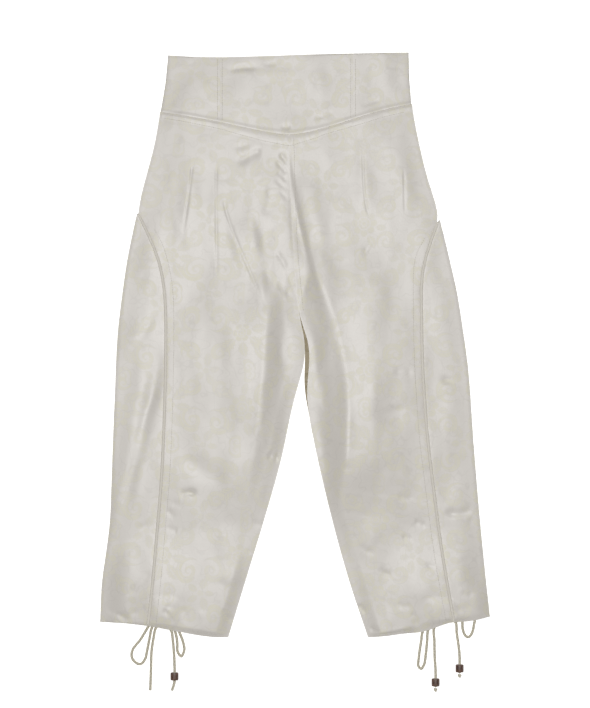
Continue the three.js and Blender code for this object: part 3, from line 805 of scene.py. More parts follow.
# The outermost x at each height, on one side: -1 for the left and 1 for the right.
def outline(sign):
    found = []
    for node, solid in NODES.items():
        if node.startswith(("front", "back", "side", "waist")):
            x, y = plan_of(np.array([tuple(v.co) for v in solid.data.vertices]))
            ends = np.array([tuple(edge.vertices) for edge in solid.data.edges])
            found.append(np.stack([x[ends[:, 0]], y[ends[:, 0]], x[ends[:, 1]], y[ends[:, 1]]], axis=1))
    ax, ay, bx, by = np.concatenate(found).T
    heights = np.linspace(ay.min() + 1, ay.max() - 1, OUTLINE_STEPS)
    reach = []
    for h in heights:
        over = (ay <= h) != (by <= h)
        share = (h - ay[over]) / (by[over] - ay[over])
        reach.append(((ax[over] + share * (bx[over] - ax[over])) * sign).max())
    return heights, np.array(reach)


OUTLINES = {sign: outline(sign) for sign in (-1, 1)}
print("outline measured at", OUTLINE_STEPS, "heights")


def from_outline(x, y):
    return np.minimum(*[np.interp(y, *OUTLINES[sign]) - x * sign for sign in (-1, 1)])


# The front layer holds a little air under it, less towards the inner edges of the legs.
def air(x, y):
    left = np.interp(-y, [-b for a, b in INNER_LEFT], [a for a, b in INNER_LEFT])
    right = np.interp(-y, [-b for a, b in INNER_RIGHT], [a for a, b in INNER_RIGHT])
    inside = np.maximum(left - x, x - right)
    return np.maximum(smoothstep(inside, 0.0, AIR_FADE), smoothstep(y, *AIR_ABOVE))


# %% How high the cloth lies, and its rise over the knots
DOWN = Vector((0, 0, -1))
RAY_FROM = 40.0
RAY_LENGTH = 60.0
TOP_OF_FOLDS = 12.0


# How high a piece stands over the flat layers, looked up with a ray from above, or at the nearest point
# where the ray passes beside the piece.
def rise_of(tree, x, y):
    hit = tree.ray_cast(at(x, y, RAY_FROM), DOWN, RAY_LENGTH * MM)[0]
    hit = hit or tree.find_nearest(at(x, y, TOP_OF_FOLDS))[0]
    return hit.z / MM - LAYER["leg"]


# What is missing to the full rise over the knots, for a piece that already stands up there a little.
def soft_rise(tree, x, y):
    wanted = np.zeros_like(x)
    for middle_x, middle_y, half_x, half_y, height, fade in OVER_KNOTS:
        out_x = np.maximum(np.abs(x - middle_x) - half_x, 0.0)
        out_y = np.maximum(np.abs(y - middle_y) - half_y, 0.0)
        wanted += height * (1 - smoothstep(np.hypot(out_x, out_y), 0.0, fade))
    moved = np.zeros_like(x)
    for i in np.nonzero(wanted > LEAST_RISE)[0]:
        moved[i] = max(wanted[i] - max(rise_of(tree, x[i], y[i]), 0.0), 0.0)
    return moved


# %% How far a point is from a rim and how deep in the cloth


def read_mesh(mesh):
    points = np.empty(len(mesh.vertices) * 3)
    normals = np.empty(len(mesh.vertices) * 3)
    mesh.vertices.foreach_get("co", points)
    mesh.vertex_normals.foreach_get("vector", normals)
    return points.reshape(-1, 3), normals.reshape(-1, 3)


RIM_STEPS = 8  # how many places are marked along each edge of a rim


# How far each chosen point is from the nearest cut edge, seen from above.
def rim_distance(piece, points, chosen):
    bm = bmesh.new()
    bm.from_mesh(piece.data)
    rim = [tuple(v.index for v in e.verts) for e in bm.edges if e.calc_face_angle(0.0) > RIM_ANGLE / 2]
    bm.free()
    rim = [(a, b) for a, b in rim if chosen[a] and chosen[b]]
    tree = KDTree(len(rim) * RIM_STEPS)
    for a, b in rim:
        for share in np.arange(RIM_STEPS) / RIM_STEPS:
            spot = points[a] * (1 - share) + points[b] * share
            tree.insert((spot[0], spot[1], 0.0), a)
    tree.balance()
    distance = np.full(len(points), 1.0)
    for index in np.nonzero(chosen)[0]:
        distance[index] = tree.find((points[index][0], points[index][1], 0.0))[2]
    return distance / MM


COLUMN = 0.05  # points closer than this, seen from above, stand in one column
WALL = 0.3  # a column that is higher than this goes through the wall


# How far up the cloth's thickness a point lies, from 0 on the inside to 1 on the outside. On a cut edge the
# points stand over each other in columns, so there it is read from the column. Elsewhere it is `otherwise`.
def share_of_wall(points, front, otherwise):
    _, column = np.unique(np.round(points[:, :2] / (COLUMN * MM)), axis=0, return_inverse=True)
    column = column.ravel()[front]
    z = points[front, 2] / MM
    top = np.full(column.max(initial=0) + 1, -np.inf)
    low = -top
    np.maximum.at(top, column, z)
    np.minimum.at(low, column, z)
    thick = top[column] - low[column]
    share = otherwise.copy()
    share[front] = np.where(thick > WALL, (z - low[column]) / np.maximum(thick, WALL), otherwise[front])
    return share


# %% [markdown]
# Settling goes once through the points of a shell. Those of the front layer are moved up or down by the air,
# the waves, the creases and the seams, but never down into the layer under them. Those of a cut edge are
# also moved out, so that the seam closes.

# %% Settle a shell
# The smooth form of each piece before it is settled, by node.
flat_forms = {}
TOUCH = 0.01  # room for rounding where heights are compared
TURNED_UP = (-0.1, 0.5)  # how far up a normal points on the inside and on the outside of the cloth
AT_RIM = 0.4
SIDEWAYS = 0.15  # a normal that lies this much sideways belongs to the cut edge


def front_moves(tree, x, y):
    moved = air(x, y) * (AIR + waves(x, y) + soft_rise(tree, x, y))
    for crease in CREASES:
        moved += crease_height(crease, x, y)
    return moved * smoothstep(from_outline(x, y), *OUTER_FADE)


# The ridge of the waistband along the V seam, or the allowance and its stitched groove on the legs.
def seam_relief(kind, x, y):
    if kind == "band":
        above = y - v_seam(x) - RIDGE_INSET
        return RIDGE_HEIGHT * np.exp(-((above / RIDGE_WIDTH) ** 2))
    over_row = y - v_row(x)
    allowance = ALLOWANCE_HEIGHT * smoothstep(over_row, -ROW_STEP, ROW_STEP)
    return allowance - STITCH_GROOVE * np.exp(-((over_row / STITCH_GROOVE_WIDTH) ** 2))


def seam_dip(kind, to_rim, to_v):
    near_v = 1 - smoothstep(to_v, *NEAR_V)
    return (SEAM_DIP[kind] + V_SEAM_DIP[kind] * near_v) * np.exp(-((to_rim / SEAM_WIDTH) ** 2))


def close_seams(points, normals, kind, at_rim, to_v):
    level = np.hypot(normals[:, 0], normals[:, 1])
    outward = normals[:, :2] / np.maximum(level, SIDEWAYS)[:, None]
    close = np.where(to_v < AT_V, V_SEAM_CLOSE[kind], SEAM_CLOSE[kind]) * (at_rim & (level > SIDEWAYS))
    points[:, :2] += outward * close[:, None] * MM


def settle(piece, node):
    kind = kind_of(node)
    points, normals = read_mesh(piece.data)
    faces = [tuple(face.vertices) for face in piece.data.polygons]
    flat_forms[node] = BVHTree.FromPolygons([tuple(point) for point in points], faces)
    x, y = plan_of(points)
    z = points[:, 2] / MM
    front = z > LAYER[kind] / 2 + TOUCH
    in_wall = share_of_wall(points, front, smoothstep(normals[:, 2], *TURNED_UP))
    to_v = np.abs(y - v_seam(x))
    to_rim = np.minimum(rim_distance(piece, points, front), to_v)
    moved = np.zeros(len(points))
    moved[front] = front_moves(flat_forms[node], x[front], y[front])
    moved[front] += seam_relief(kind, x, y)[front]
    moved[front] -= (seam_dip(kind, to_rim, to_v) * in_wall)[front]
    lowest = SHOWN_LAYER[kind] - CLEAR_UNDER + THINNEST * in_wall
    settled = np.where(front, np.maximum(z + moved, np.minimum(z, lowest)), z)
    points[:, 2] = settled * MM
    close_seams(points, normals, kind, front & (to_rim < AT_RIM), to_v)
    piece.data.vertices.foreach_set("co", points.ravel())
    piece.data.update()
    only(piece)
    bpy.ops.object.shade_smooth_by_angle(angle=SMOOTH_ANGLE)


# %% [markdown]
# ## Cutting the cloth from the pattern
#
# Every piece is cut from the same cloth, each at its own place and a little off the grain, so the woven
# pattern breaks at each seam. The UV map is that cutting plan, in metres on the cloth. Where a piece
# wraps round the outer fold, the map runs on round the fold.

# %% UV maps and finishes of the shells
# Where each piece was cut from the cloth: how far it is moved, in millimetres, and turned, in degrees.
CUT_PLAN = {
    "front_left": (12, 31, 1.5),
    "front_right": (48, -22, -2.0),
    "back_left": (-35, 70, 0.0),
    "back_right": (61, 18, 1.0),
    "side_panel_left": (83, -51, 4.0),
    "side_panel_right": (-27, 44, -4.5),
    "waistband_front": (5, 66, 90.0),
    "waistband_back": (40, -38, 90.0),
    "waistband_side_left": (70, 12, 87.0),
    "waistband_side_right": (-58, 29, 93.0),
}
FOLD_STEPS = 40
FOLD_REACH = 0.6  # each step along the fold looks this share of a step up and down
INWARD = 0.3  # how far a normal has to point at the other layer to be on the wrong side


def cut_from_cloth(piece, node):
    points, _ = read_mesh(piece.data)
    moved_x, moved_y, degrees = CUT_PLAN[node]
    kind = kind_of(node)
    x = points[:, 0] / MM
    if node.startswith(("side_panel", "waistband_side")):
        lower = points[:, 2] / MM < LAYER[kind] / 2
        sign = 1 if node.endswith("right") else -1
        outermost = np.interp(points[:, 1], *outer_fold(points, sign)) / MM
        x = np.where(lower, 2 * outermost - x, x)
    turn = math.radians(degrees)
    y = points[:, 1] / MM
    u = (x * math.cos(turn) - y * math.sin(turn) + moved_x) * MM
    v = (x * math.sin(turn) + y * math.cos(turn) + moved_y) * MM
    corners = np.empty(len(piece.data.loops), dtype=int)
    piece.data.loops.foreach_get("vertex_index", corners)
    layer = piece.data.uv_layers.get("UVMap") or piece.data.uv_layers.new(name="UVMap")
    layer.data.foreach_set("uv", np.stack([u[corners], v[corners]], axis=1).ravel())


# The outermost x of a wrapped piece at a few heights.
def outer_fold(points, sign):
    heights = np.linspace(points[:, 1].min(), points[:, 1].max(), FOLD_STEPS)
    half = (heights[1] - heights[0]) * FOLD_REACH
    found = [points[np.abs(points[:, 1] - y) <= half, 0] * sign for y in heights]
    return heights, sign * np.array([x.max() for x in found])


def wrong_side(piece, node):
    middle = LAYER[kind_of(node)] / 2 * MM
    whole_back = "back" in node
    for face in piece.data.polygons:
        front = face.center.z > middle and not whole_back
        inward = face.normal.z < -INWARD if front else face.normal.z > INWARD
        face.material_index = 1 if inward else 0


# %% Make the ten cloth pieces
# How many times each piece is subdivided, and how many cuts its up-and-down edges get before that.
SHELLS = {
    "front_left": (3, 0),
    "front_right": (3, 0),
    "side_panel_left": (3, 0),
    "side_panel_right": (3, 0),
    "waistband_front": (3, 3),
    "waistband_side_left": (3, 3),
    "waistband_side_right": (3, 3),
    "back_left": (2, 0),
    "back_right": (2, 0),
    "waistband_back": (2, 1),
}
shells = {}
for node, (levels, row_cuts) in SHELLS.items():
    shell = cloth_shell(node, levels, row_cuts)
    if "back" not in node:
        settle(shell, node)
    else:
        only(shell)
        bpy.ops.object.shade_smooth_by_angle(angle=SMOOTH_ANGLE)
    cut_from_cloth(shell, node)
    dress(shell, "jacquard", node)
    shells[node] = shell
    top = shell.bound_box[6][2]
    print(node, triangles(shell), "triangles, up to", round(top / MM, 1), "mm high")

# %% [markdown]
# ## Piping
#
# A cord wrapped in satin is sewn into the two curved seams. The welt of the solid is merged and smoothed
# into a round one. It sits on the cloth, so it is moved by the same creases, and its foot goes down into
# the seam between the two panels.

# %% Piping over the curved seams
PIPING_SINK = 0.75
PIPING_FOOT = 0.7

piping_pieces = {}
for side in ("left", "right"):
    node = f"piping_{side}"
    welt = bpy.data.objects.new(f"{node}_welt", NODES[node].data.copy())
    welt.data.materials.clear()
    bpy.context.scene.collection.objects.link(welt)
    only(welt)
    bpy.ops.object.mode_set(mode="EDIT")
    bpy.ops.mesh.select_all(action="SELECT")
    bpy.ops.mesh.remove_doubles(threshold=MERGE * MM)
    bpy.ops.mesh.tris_convert_to_quads(
        face_threshold=math.pi, shape_threshold=math.pi, topology_influence=REGULAR
    )
    bpy.ops.object.mode_set(mode="OBJECT")
    smooth = welt.modifiers.new("round welt", "SUBSURF")
    smooth.levels = smooth.render_levels = 2
    apply_all(welt)
    points, normals = read_mesh(welt.data)
    x, y = plan_of(points)
    points[:, 2] += (front_moves(flat_forms[f"front_{side}"], x, y) - PIPING_SINK) * MM
    points[:, 2] -= np.where(normals[:, 2] < -INWARD, PIPING_FOOT, 0.0) * MM
    welt.data.vertices.foreach_set("co", points.ravel())
    mesh_normals_out(welt)
    dress(welt, "piping", node)
    piping_pieces[node] = welt
    print(node, triangles(welt), "triangles")

# %% [markdown]
# ## Stitches
#
# Topstitching holds the allowances down: under the V seam, on both sides of the waistband's upright seams,
# beside the centre seam, and in a row 12 mm inside each piping, where it makes the casing. One stitch is
# a small ball drawn out to a short bar. It is copied along each row at an even pitch, turned to the row and
# let down onto the cloth with a ray from above, and all rows are joined into one piece.

# %% One stitch
STITCH_LENGTH = 2.7
STITCH_PITCH = 3.5
STITCH_WIDTH = 0.55
STITCH_PROUD = 0.12

bpy.ops.object.select_all(action="DESELECT")
bpy.ops.mesh.primitive_uv_sphere_add(segments=6, ring_count=5, radius=0.5)
bar = bpy.context.object
bar.rotation_euler = (0, math.pi / 2, 0)
place_in_mesh(bar)
bar.scale = (STITCH_LENGTH * MM, STITCH_WIDTH * MM, STITCH_WIDTH * 0.8 * MM)
place_in_mesh(bar)
stitch_points = [v.co.copy() for v in bar.data.vertices]
stitch_faces = [tuple(face.vertices) for face in bar.data.polygons]
bpy.data.objects.remove(bar)
print("one stitch has", len(stitch_faces), "faces")

# %% Rows of stitches
SIDE_SEAMS = {
    "left": [(-223, 167), (-211.5, 146), (-201, 109), (-196.5, 79), (-195, 34), (-196.5, -79), (-201, -191)]
    + [(-209, -290), (-215.5, -365), (-221.5, -417)],
    "right": [(204, 155), (191.5, 130), (188, 104), (188, 50), (189.5, -28), (192.5, -79), (197, -140)]
    + [(206, -215), (219.5, -316), (236, -411)],
}
CENTRE_SEAM = [(-10.5, 310), (-9.5, 281), (-7.5, 206), (-3, 122), (2, 71), (4.2, 50)]
BAND_SEAMS = {"left": -114, "right": 85.5}
BAND_ROW = 3.6
CENTRE_ROW = 7.0
CASING_ROW = 12.0
V_ROW_X = range(-198, 170, 8)
BAND_ROW_Y = (428, 400)
BAND_ROW_CLEAR = 3


def beside(line, distance):
    moved = []
    for i, (x, y) in enumerate(line):
        before = line[max(i - 1, 0)]
        after = line[min(i + 1, len(line) - 1)]
        dx, dy = after[0] - before[0], after[1] - before[1]
        size = math.hypot(dx, dy)
        moved.append((x - dy / size * distance, y + dx / size * distance))
    return moved


rows = {"v_seam": [(x, float(v_row(x))) for x in V_ROW_X]}
for side, x in BAND_SEAMS.items():
    for hand in (-1, 1):
        column = x + hand * BAND_ROW
        lowest = float(v_seam(column)) + BAND_ROW_CLEAR
        rows[f"band_{side}_{hand}"] = [(column, y) for y in (*BAND_ROW_Y, lowest)]
rows["centre"] = beside(CENTRE_SEAM, CENTRE_ROW)
rows["casing_left"] = beside(SIDE_SEAMS["left"], CASING_ROW)
rows["casing_right"] = beside(SIDE_SEAMS["right"], -CASING_ROW)

trees = []
for node, shell in shells.items():
    if "back" not in node:
        points, _ = read_mesh(shell.data)
        trees.append(BVHTree.FromPolygons(points.tolist(), [tuple(f.vertices) for f in shell.data.polygons]))


ABOVE_CLOTH = 50.0


def cloth_height(x, y):
    above = Vector((x, y, ABOVE_CLOTH * MM))
    hits = [tree.ray_cast(above, DOWN, ABOVE_CLOTH * MM)[0] for tree in trees]
    return max([hit.z for hit in hits if hit], default=None)


def sew(name, table):
    points = []
    faces = []
    for line in table.values():
        path, length = even_steps(smooth_curve([at(*p) for p in line], 1.0 * MM), STITCH_PITCH * MM)
        for here, after in zip(path, path[1:]):
            middle = (here + after) / 2
            height = cloth_height(middle[0], middle[1])
            if height is None:
                continue
            angle = math.atan2(after[1] - here[1], after[0] - here[0])
            cos, sin = math.cos(angle), math.sin(angle)
            first = len(points)
            for p in stitch_points:
                x = middle[0] + cos * p.x - sin * p.y
                y = middle[1] + sin * p.x + cos * p.y
                points.append((x, y, height + STITCH_PROUD * MM + p.z))
            faces += [tuple(first + i for i in face) for face in stitch_faces]
    piece = new_mesh(name, points, faces)
    mesh_normals_out(piece)
    dress(piece, "jacquard")
    return piece


stitching = sew("topstitching", rows)
print(len(stitching.data.polygons) // len(stitch_faces), "stitches,", triangles(stitching), "triangles")

# %% [markdown]
# ## Building materials from nodes
#
# A material is a little machine of nodes. These helpers keep it readable: `calc` is one sum, `soft` is a
# soft step between two values, and `placed` looks at a motif from its own middle, turned and sized. They
# take numbers or the outputs of other nodes.

# %% Helpers for nodes


def new_group(name, inputs, outputs):
    tree = bpy.data.node_groups.new(name, "ShaderNodeTree")
    for label, kind in inputs.items():
        tree.interface.new_socket(label, in_out="INPUT", socket_type=f"NodeSocket{kind}")
    for label, kind in outputs.items():
        tree.interface.new_socket(label, in_out="OUTPUT", socket_type=f"NodeSocket{kind}")
    return tree, tree.nodes.new("NodeGroupInput").outputs, tree.nodes.new("NodeGroupOutput").inputs


def feed(tree, socket, value):
    if isinstance(value, bpy.types.NodeSocket):
        tree.links.new(value, socket)
    else:
        socket.default_value = value


def calc(tree, operation, *values):
    node = tree.nodes.new("ShaderNodeMath")
    node.operation = operation
    for socket, value in zip(node.inputs, values):
        feed(tree, socket, value)
    return node.outputs[0]


def soft(tree, value, low, high):
    node = tree.nodes.new("ShaderNodeMapRange")
    node.interpolation_type = "SMOOTHSTEP"
    feed(tree, node.inputs["Value"], value)
    feed(tree, node.inputs["From Min"], low)
    feed(tree, node.inputs["From Max"], high)
    return node.outputs["Result"]


def both(tree, *values):
    total = values[0]
    for value in values[1:]:
        total = calc(tree, "MULTIPLY", total, value)
    return total


def either(tree, *values):
    total = values[0]
    for value in values[1:]:
        total = calc(tree, "MAXIMUM", total, value)
    return total


def placed(tree, vector, place=(0, 0), degrees=0, size=1, squash=1):
    node = tree.nodes.new("ShaderNodeMapping")
    node.vector_type = "TEXTURE"
    feed(tree, node.inputs["Vector"], vector)
    node.inputs["Location"].default_value = (*place, 0)
    node.inputs["Rotation"].default_value = (0, 0, math.radians(degrees))
    node.inputs["Scale"].default_value = (size, size * squash, 1)
    return node.outputs["Vector"]


def split(tree, vector):
    node = tree.nodes.new("ShaderNodeSeparateXYZ")
    feed(tree, node.inputs[0], vector)
    return node.outputs[0], node.outputs[1]


def join(tree, *values):
    node = tree.nodes.new("ShaderNodeCombineXYZ")
    for socket, value in zip(node.inputs, values):
        feed(tree, socket, value)
    return node.outputs[0]


def polar(tree, vector):
    x, y = split(tree, vector)
    radius = calc(tree, "SQRT", calc(tree, "ADD", both(tree, x, x), both(tree, y, y)))
    return radius, calc(tree, "ARCTAN2", y, x)


def use(tree, group, **inputs):
    node = tree.nodes.new("ShaderNodeGroup")
    node.node_tree = group
    for label, value in inputs.items():
        feed(tree, node.inputs[label.replace("_", " ")], value)
    return node.outputs


def colour_mix(tree, share, first, second):
    node = tree.nodes.new("ShaderNodeMix")
    node.data_type = "RGBA"
    feed(tree, node.inputs["Factor"], share)
    feed(tree, node.inputs[6], first)
    feed(tree, node.inputs[7], second)
    return node.outputs[2]


def noise_of(tree, vector, scale, detail=2.0, roughness=0.5):
    node = tree.nodes.new("ShaderNodeTexNoise")
    feed(tree, node.inputs["Vector"], vector)
    node.inputs["Scale"].default_value = scale
    node.inputs["Detail"].default_value = detail
    node.inputs["Roughness"].default_value = roughness
    return node.outputs["Fac"]


def bump(tree, height, distance, strength=1.0, normal=None):
    node = tree.nodes.new("ShaderNodeBump")
    feed(tree, node.inputs["Height"], height)
    node.inputs["Distance"].default_value = distance
    node.inputs["Strength"].default_value = strength
    if normal is not None:
        feed(tree, node.inputs["Normal"], normal)
    return node.outputs["Normal"]


# %% [markdown]
# ## The motifs of the jacquard
#
# The cloth is covered with common damask motifs: open flowers, pointed leaves, and curled scrolls with a
# frilled edge. Each is one small node group that answers, for a point seen from the motif's own middle,
# how much of the motif is there. A leaf is a lens with a vein, a flower is a wave round a circle with rings
# in it, and a scroll is a band along a spiral that grows by the same share in each turn.

# %% Leaf, flower, scroll and stem
leaf, given, made = new_group("leaf", {"Vector": "Vector"}, {"Mask": "Float"})
x, y = split(leaf, given["Vector"])
y = calc(leaf, "ADD", y, both(leaf, x, x, 0.22))
y = calc(leaf, "SUBTRACT", y, both(leaf, x, 0.22))
teeth = calc(leaf, "MULTIPLY_ADD", calc(leaf, "SINE", both(leaf, x, 34.0)), 0.12, 1.0)
half = both(leaf, x, calc(leaf, "SUBTRACT", 1.0, x), teeth, 1.15)
vein = calc(leaf, "ABSOLUTE", y)
side_veins = calc(leaf, "SINE", both(leaf, calc(leaf, "SUBTRACT", x, both(leaf, vein, 0.8)), 44.0))
body = soft(leaf, calc(leaf, "SUBTRACT", half, vein), -0.02, 0.05)
body = both(leaf, body, calc(leaf, "MULTIPLY_ADD", soft(leaf, side_veins, 0.55, 1.0), -0.45, 1.0))
feed(leaf, made["Mask"], both(leaf, body, soft(leaf, vein, 0.0, 0.045)))

flower, given, made = new_group("flower", {"Vector": "Vector", "Petals": "Float"}, {"Mask": "Float"})
radius, angle = polar(flower, given["Vector"])
half_turns = both(flower, angle, given["Petals"], 0.5)
lobe = calc(flower, "ABSOLUTE", calc(flower, "COSINE", half_turns))
edge = calc(flower, "MULTIPLY_ADD", calc(flower, "POWER", lobe, 0.6), 0.3, 0.7)
outer = soft(flower, calc(flower, "SUBTRACT", edge, radius), 0.0, 0.06)
petal_gap = soft(flower, lobe, 0.05, 0.32)
ring_gap = soft(flower, calc(flower, "ABSOLUTE", calc(flower, "SUBTRACT", radius, 0.47)), 0.02, 0.07)
heart_gap = soft(flower, calc(flower, "ABSOLUTE", calc(flower, "SUBTRACT", radius, 0.2)), 0.02, 0.06)
inner_lobe = calc(flower, "ABSOLUTE", calc(flower, "SINE", half_turns))
in_heart = soft(flower, calc(flower, "SUBTRACT", 0.2, radius), 0, 0.03)
inner_gap = either(flower, soft(flower, inner_lobe, 0.1, 0.4), in_heart)
outside = soft(flower, radius, 0.44, 0.5)
inner_petals = both(flower, inner_gap, calc(flower, "SUBTRACT", 1.0, outside))
petals = calc(flower, "ADD", both(flower, petal_gap, outside), inner_petals)
feed(flower, made["Mask"], both(flower, outer, ring_gap, heart_gap, petals))

SCROLL_GROWTH = 0.24
scroll, given, made = new_group("scroll", {"Vector": "Vector", "Width": "Float"}, {"Mask": "Float"})
radius, angle = polar(scroll, given["Vector"])
growth = calc(scroll, "LOGARITHM", calc(scroll, "MAXIMUM", radius, 0.01), math.e)
winding = calc(scroll, "DIVIDE", growth, SCROLL_GROWTH)
turns = calc(scroll, "DIVIDE", calc(scroll, "SUBTRACT", winding, angle), 2 * math.pi)
phase = calc(scroll, "SUBTRACT", turns, calc(scroll, "FLOOR", turns))
frill = both(scroll, calc(scroll, "ABSOLUTE", calc(scroll, "SINE", both(scroll, winding, 1.6))), 0.14)
start = calc(scroll, "SUBTRACT", phase, 0.5)
band = both(
    scroll,
    soft(scroll, calc(scroll, "ADD", start, given["Width"]), 0.0, 0.05),
    soft(scroll, calc(scroll, "SUBTRACT", calc(scroll, "ADD", given["Width"], frill), start), 0.0, 0.06),
)
groove = soft(scroll, calc(scroll, "ABSOLUTE", start), 0.01, 0.04)
ends = both(scroll, soft(scroll, radius, 0.1, 0.2), soft(scroll, radius, 1.02, 0.9))
feed(scroll, made["Mask"], both(scroll, band, groove, ends))

stem, given, made = new_group("stem", {"Vector": "Vector", "Sweep": "Float"}, {"Mask": "Float"})
radius, angle = polar(stem, given["Vector"])
line = soft(stem, calc(stem, "ABSOLUTE", calc(stem, "SUBTRACT", radius, 1.0)), 0.045, 0.01)
from_tip = calc(stem, "SUBTRACT", given["Sweep"], angle)
sweep = both(stem, soft(stem, angle, 0.0, 0.1), soft(stem, from_tip, 0.0, 0.1))
feed(stem, made["Mask"], both(stem, line, sweep))
print("four motifs")

# %% [markdown]
# ## The repeat of the jacquard
#
# A big flower and a small one take turns on a chequerboard of 112 mm, each among leaves and curled
# scrolls, and a spray fills the corners between them. To keep this light for the renderer, a motif is drawn
# once and the plane is folded under it: `around` turns one leaf into a ring of them, and `opposite` gives a
# scroll its partner across the middle. Every second row and column is mirrored, and a slow noise bends the
# whole repeat, as cloth is never quite square.

# %% Folding the plane
REPEAT = 112.0
BEND = 9.0
BEND_SCALE = 0.011


def mix_of(tree, share, first, second):
    return calc(tree, "MULTIPLY_ADD", share, second - first, first)


def around(tree, radius, angle, count, degrees, start, length):
    sector = 2 * math.pi / count
    turned = calc(tree, "DIVIDE", calc(tree, "ADD", angle, math.radians(degrees) + 2 * math.pi), sector)
    number = calc(tree, "FLOOR", turned)
    off = both(tree, calc(tree, "SUBTRACT", calc(tree, "SUBTRACT", turned, number), 0.5), sector)
    uneven = calc(tree, "MULTIPLY_ADD", calc(tree, "SINE", both(tree, number, 2.4)), 0.16, 1.0)
    size = both(tree, uneven, length)
    x = calc(tree, "SUBTRACT", both(tree, radius, calc(tree, "COSINE", off)), start)
    y = both(tree, radius, calc(tree, "SINE", off))
    return join(tree, calc(tree, "DIVIDE", x, size), calc(tree, "DIVIDE", y, size))


def opposite(tree, x, y):
    side = calc(tree, "SIGN", x)
    return join(tree, both(tree, x, side), both(tree, y, side))


def cell_of(tree, value):
    number = calc(tree, "FLOOR", calc(tree, "DIVIDE", value, REPEAT))
    middle = both(tree, calc(tree, "ADD", number, 0.5), REPEAT)
    odd = calc(tree, "FLOORED_MODULO", number, 2.0)
    mirror = calc(tree, "MULTIPLY_ADD", odd, -2.0, 1.0)
    return both(tree, calc(tree, "SUBTRACT", value, middle), mirror), odd


def bent(tree, vector):
    node = tree.nodes.new("ShaderNodeTexNoise")
    feed(tree, node.inputs["Vector"], vector)
    node.inputs["Scale"].default_value = BEND_SCALE
    node.inputs["Detail"].default_value = 1.0
    pull = tree.nodes.new("ShaderNodeVectorMath")
    pull.operation = "MULTIPLY_ADD"
    feed(tree, pull.inputs[0], node.outputs["Color"])
    pull.inputs[1].default_value = (2 * BEND, 2 * BEND, 0)
    feed(tree, pull.inputs[2], vector)
    return pull.outputs[0]


# %% The group with the whole repeat
jacquard, given, made = new_group("jacquard", {"Vector": "Vector"}, {"Motif": "Float"})
x, y = split(jacquard, bent(jacquard, placed(jacquard, given["Vector"], size=MM)))
cell_x, odd_x = cell_of(jacquard, x)
cell_y, odd_y = cell_of(jacquard, y)
swap = calc(jacquard, "ABSOLUTE", calc(jacquard, "SUBTRACT", odd_x, odd_y))
in_cell = join(jacquard, cell_x, cell_y)

heart = mix_of(jacquard, swap, 21.0, 13.0)
radius, angle = polar(jacquard, in_cell)
in_flower = join(jacquard, calc(jacquard, "DIVIDE", cell_x, heart), calc(jacquard, "DIVIDE", cell_y, heart))
motif = use(jacquard, flower, Vector=in_flower, Petals=mix_of(jacquard, swap, 8.0, 6.0))["Mask"]
leaves_start = both(jacquard, heart, 0.92)
ring = around(jacquard, radius, angle, 7, 20, leaves_start, mix_of(jacquard, swap, 21.0, 27.0))
motif = either(jacquard, motif, use(jacquard, leaf, Vector=ring)["Mask"])
# Each pair of scrolls: where it stands, how it is turned, its size and the width of its band.
for place, degrees, size, width in (
    ((37, 21), 62, 20, 0.25),
    ((33, -31), -35, 16, 0.27),
    ((7, 50), 150, 12, 0.26),
):
    spot = placed(jacquard, opposite(jacquard, cell_x, cell_y), place, degrees, size)
    motif = either(jacquard, motif, use(jacquard, scroll, Vector=spot, Width=width)["Mask"])

corner_x, _ = cell_of(jacquard, calc(jacquard, "ADD", x, REPEAT / 2))
corner_y, _ = cell_of(jacquard, calc(jacquard, "ADD", y, REPEAT / 2))
in_corner = join(jacquard, corner_x, corner_y)
radius, angle = polar(jacquard, in_corner)
spray = around(jacquard, radius, angle, 5, 8, 5.5, 19.0)
motif = either(jacquard, motif, use(jacquard, leaf, Vector=spray)["Mask"])
bud = use(jacquard, flower, Vector=placed(jacquard, in_corner, size=5), Petals=5.0)["Mask"]
motif = either(jacquard, motif, bud)
sprig = placed(jacquard, opposite(jacquard, corner_x, corner_y), (26, 5), 60, 15)
motif = either(jacquard, motif, use(jacquard, stem, Vector=sprig, Sweep=2.6)["Mask"])
feed(jacquard, made["Motif"], motif)
print("jacquard repeat of", REPEAT, "mm")

# %% [markdown]
# The weave is a group of its own, so that a bump which reads it doesn't work out the whole repeat again.
# It is a satin: long floats of thread run down the cloth, each next one shifted by two fifths.

# %% The satin weave
FLOAT_WIDTH = 0.45
FLOAT_LENGTH = 2.4

weave, given, made = new_group("satin weave", {"Vector": "Vector"}, {"Height": "Float"})
x, y = split(weave, placed(weave, given["Vector"], size=MM))
row = calc(weave, "FLOOR", calc(weave, "DIVIDE", x, FLOAT_WIDTH))
shifted = calc(weave, "ADD", calc(weave, "DIVIDE", y, FLOAT_LENGTH), both(weave, row, 0.4))
round_along = calc(weave, "SINE", both(weave, calc(weave, "FRACT", shifted), math.pi))
round_across = calc(weave, "ABSOLUTE", calc(weave, "SINE", both(weave, x, math.pi / FLOAT_WIDTH)))
height = both(weave, round_across, calc(weave, "MULTIPLY_ADD", round_along, 0.6, 0.4))
feed(weave, made["Height"], height)
print("satin weave")

# %% [markdown]
# ## Finishes
#
# On the right side the satin ground is cool ivory and the motifs are a little yellower and duller, because
# their threads turn the other way. The wrong side shows the same pattern the other way round, in a darker
# tan that is painted shade for the inside of the garment, where it lies in shadow.
# Colours are written as they look on a screen, from 0 to 255, and `tone` makes them what the renderer
# works with.

# %% Cloth, right side and wrong side


def tone(red, green, blue):
    shares = [value / 255 for value in (red, green, blue)]
    return (*[s / 12.92 if s <= 0.04045 else ((s + 0.055) / 1.055) ** 2.4 for s in shares], 1.0)


def new_material(name):
    material = bpy.data.materials.new(name)
    material.use_nodes = True
    tree = material.node_tree
    return material, tree, tree.nodes["Principled BSDF"].inputs


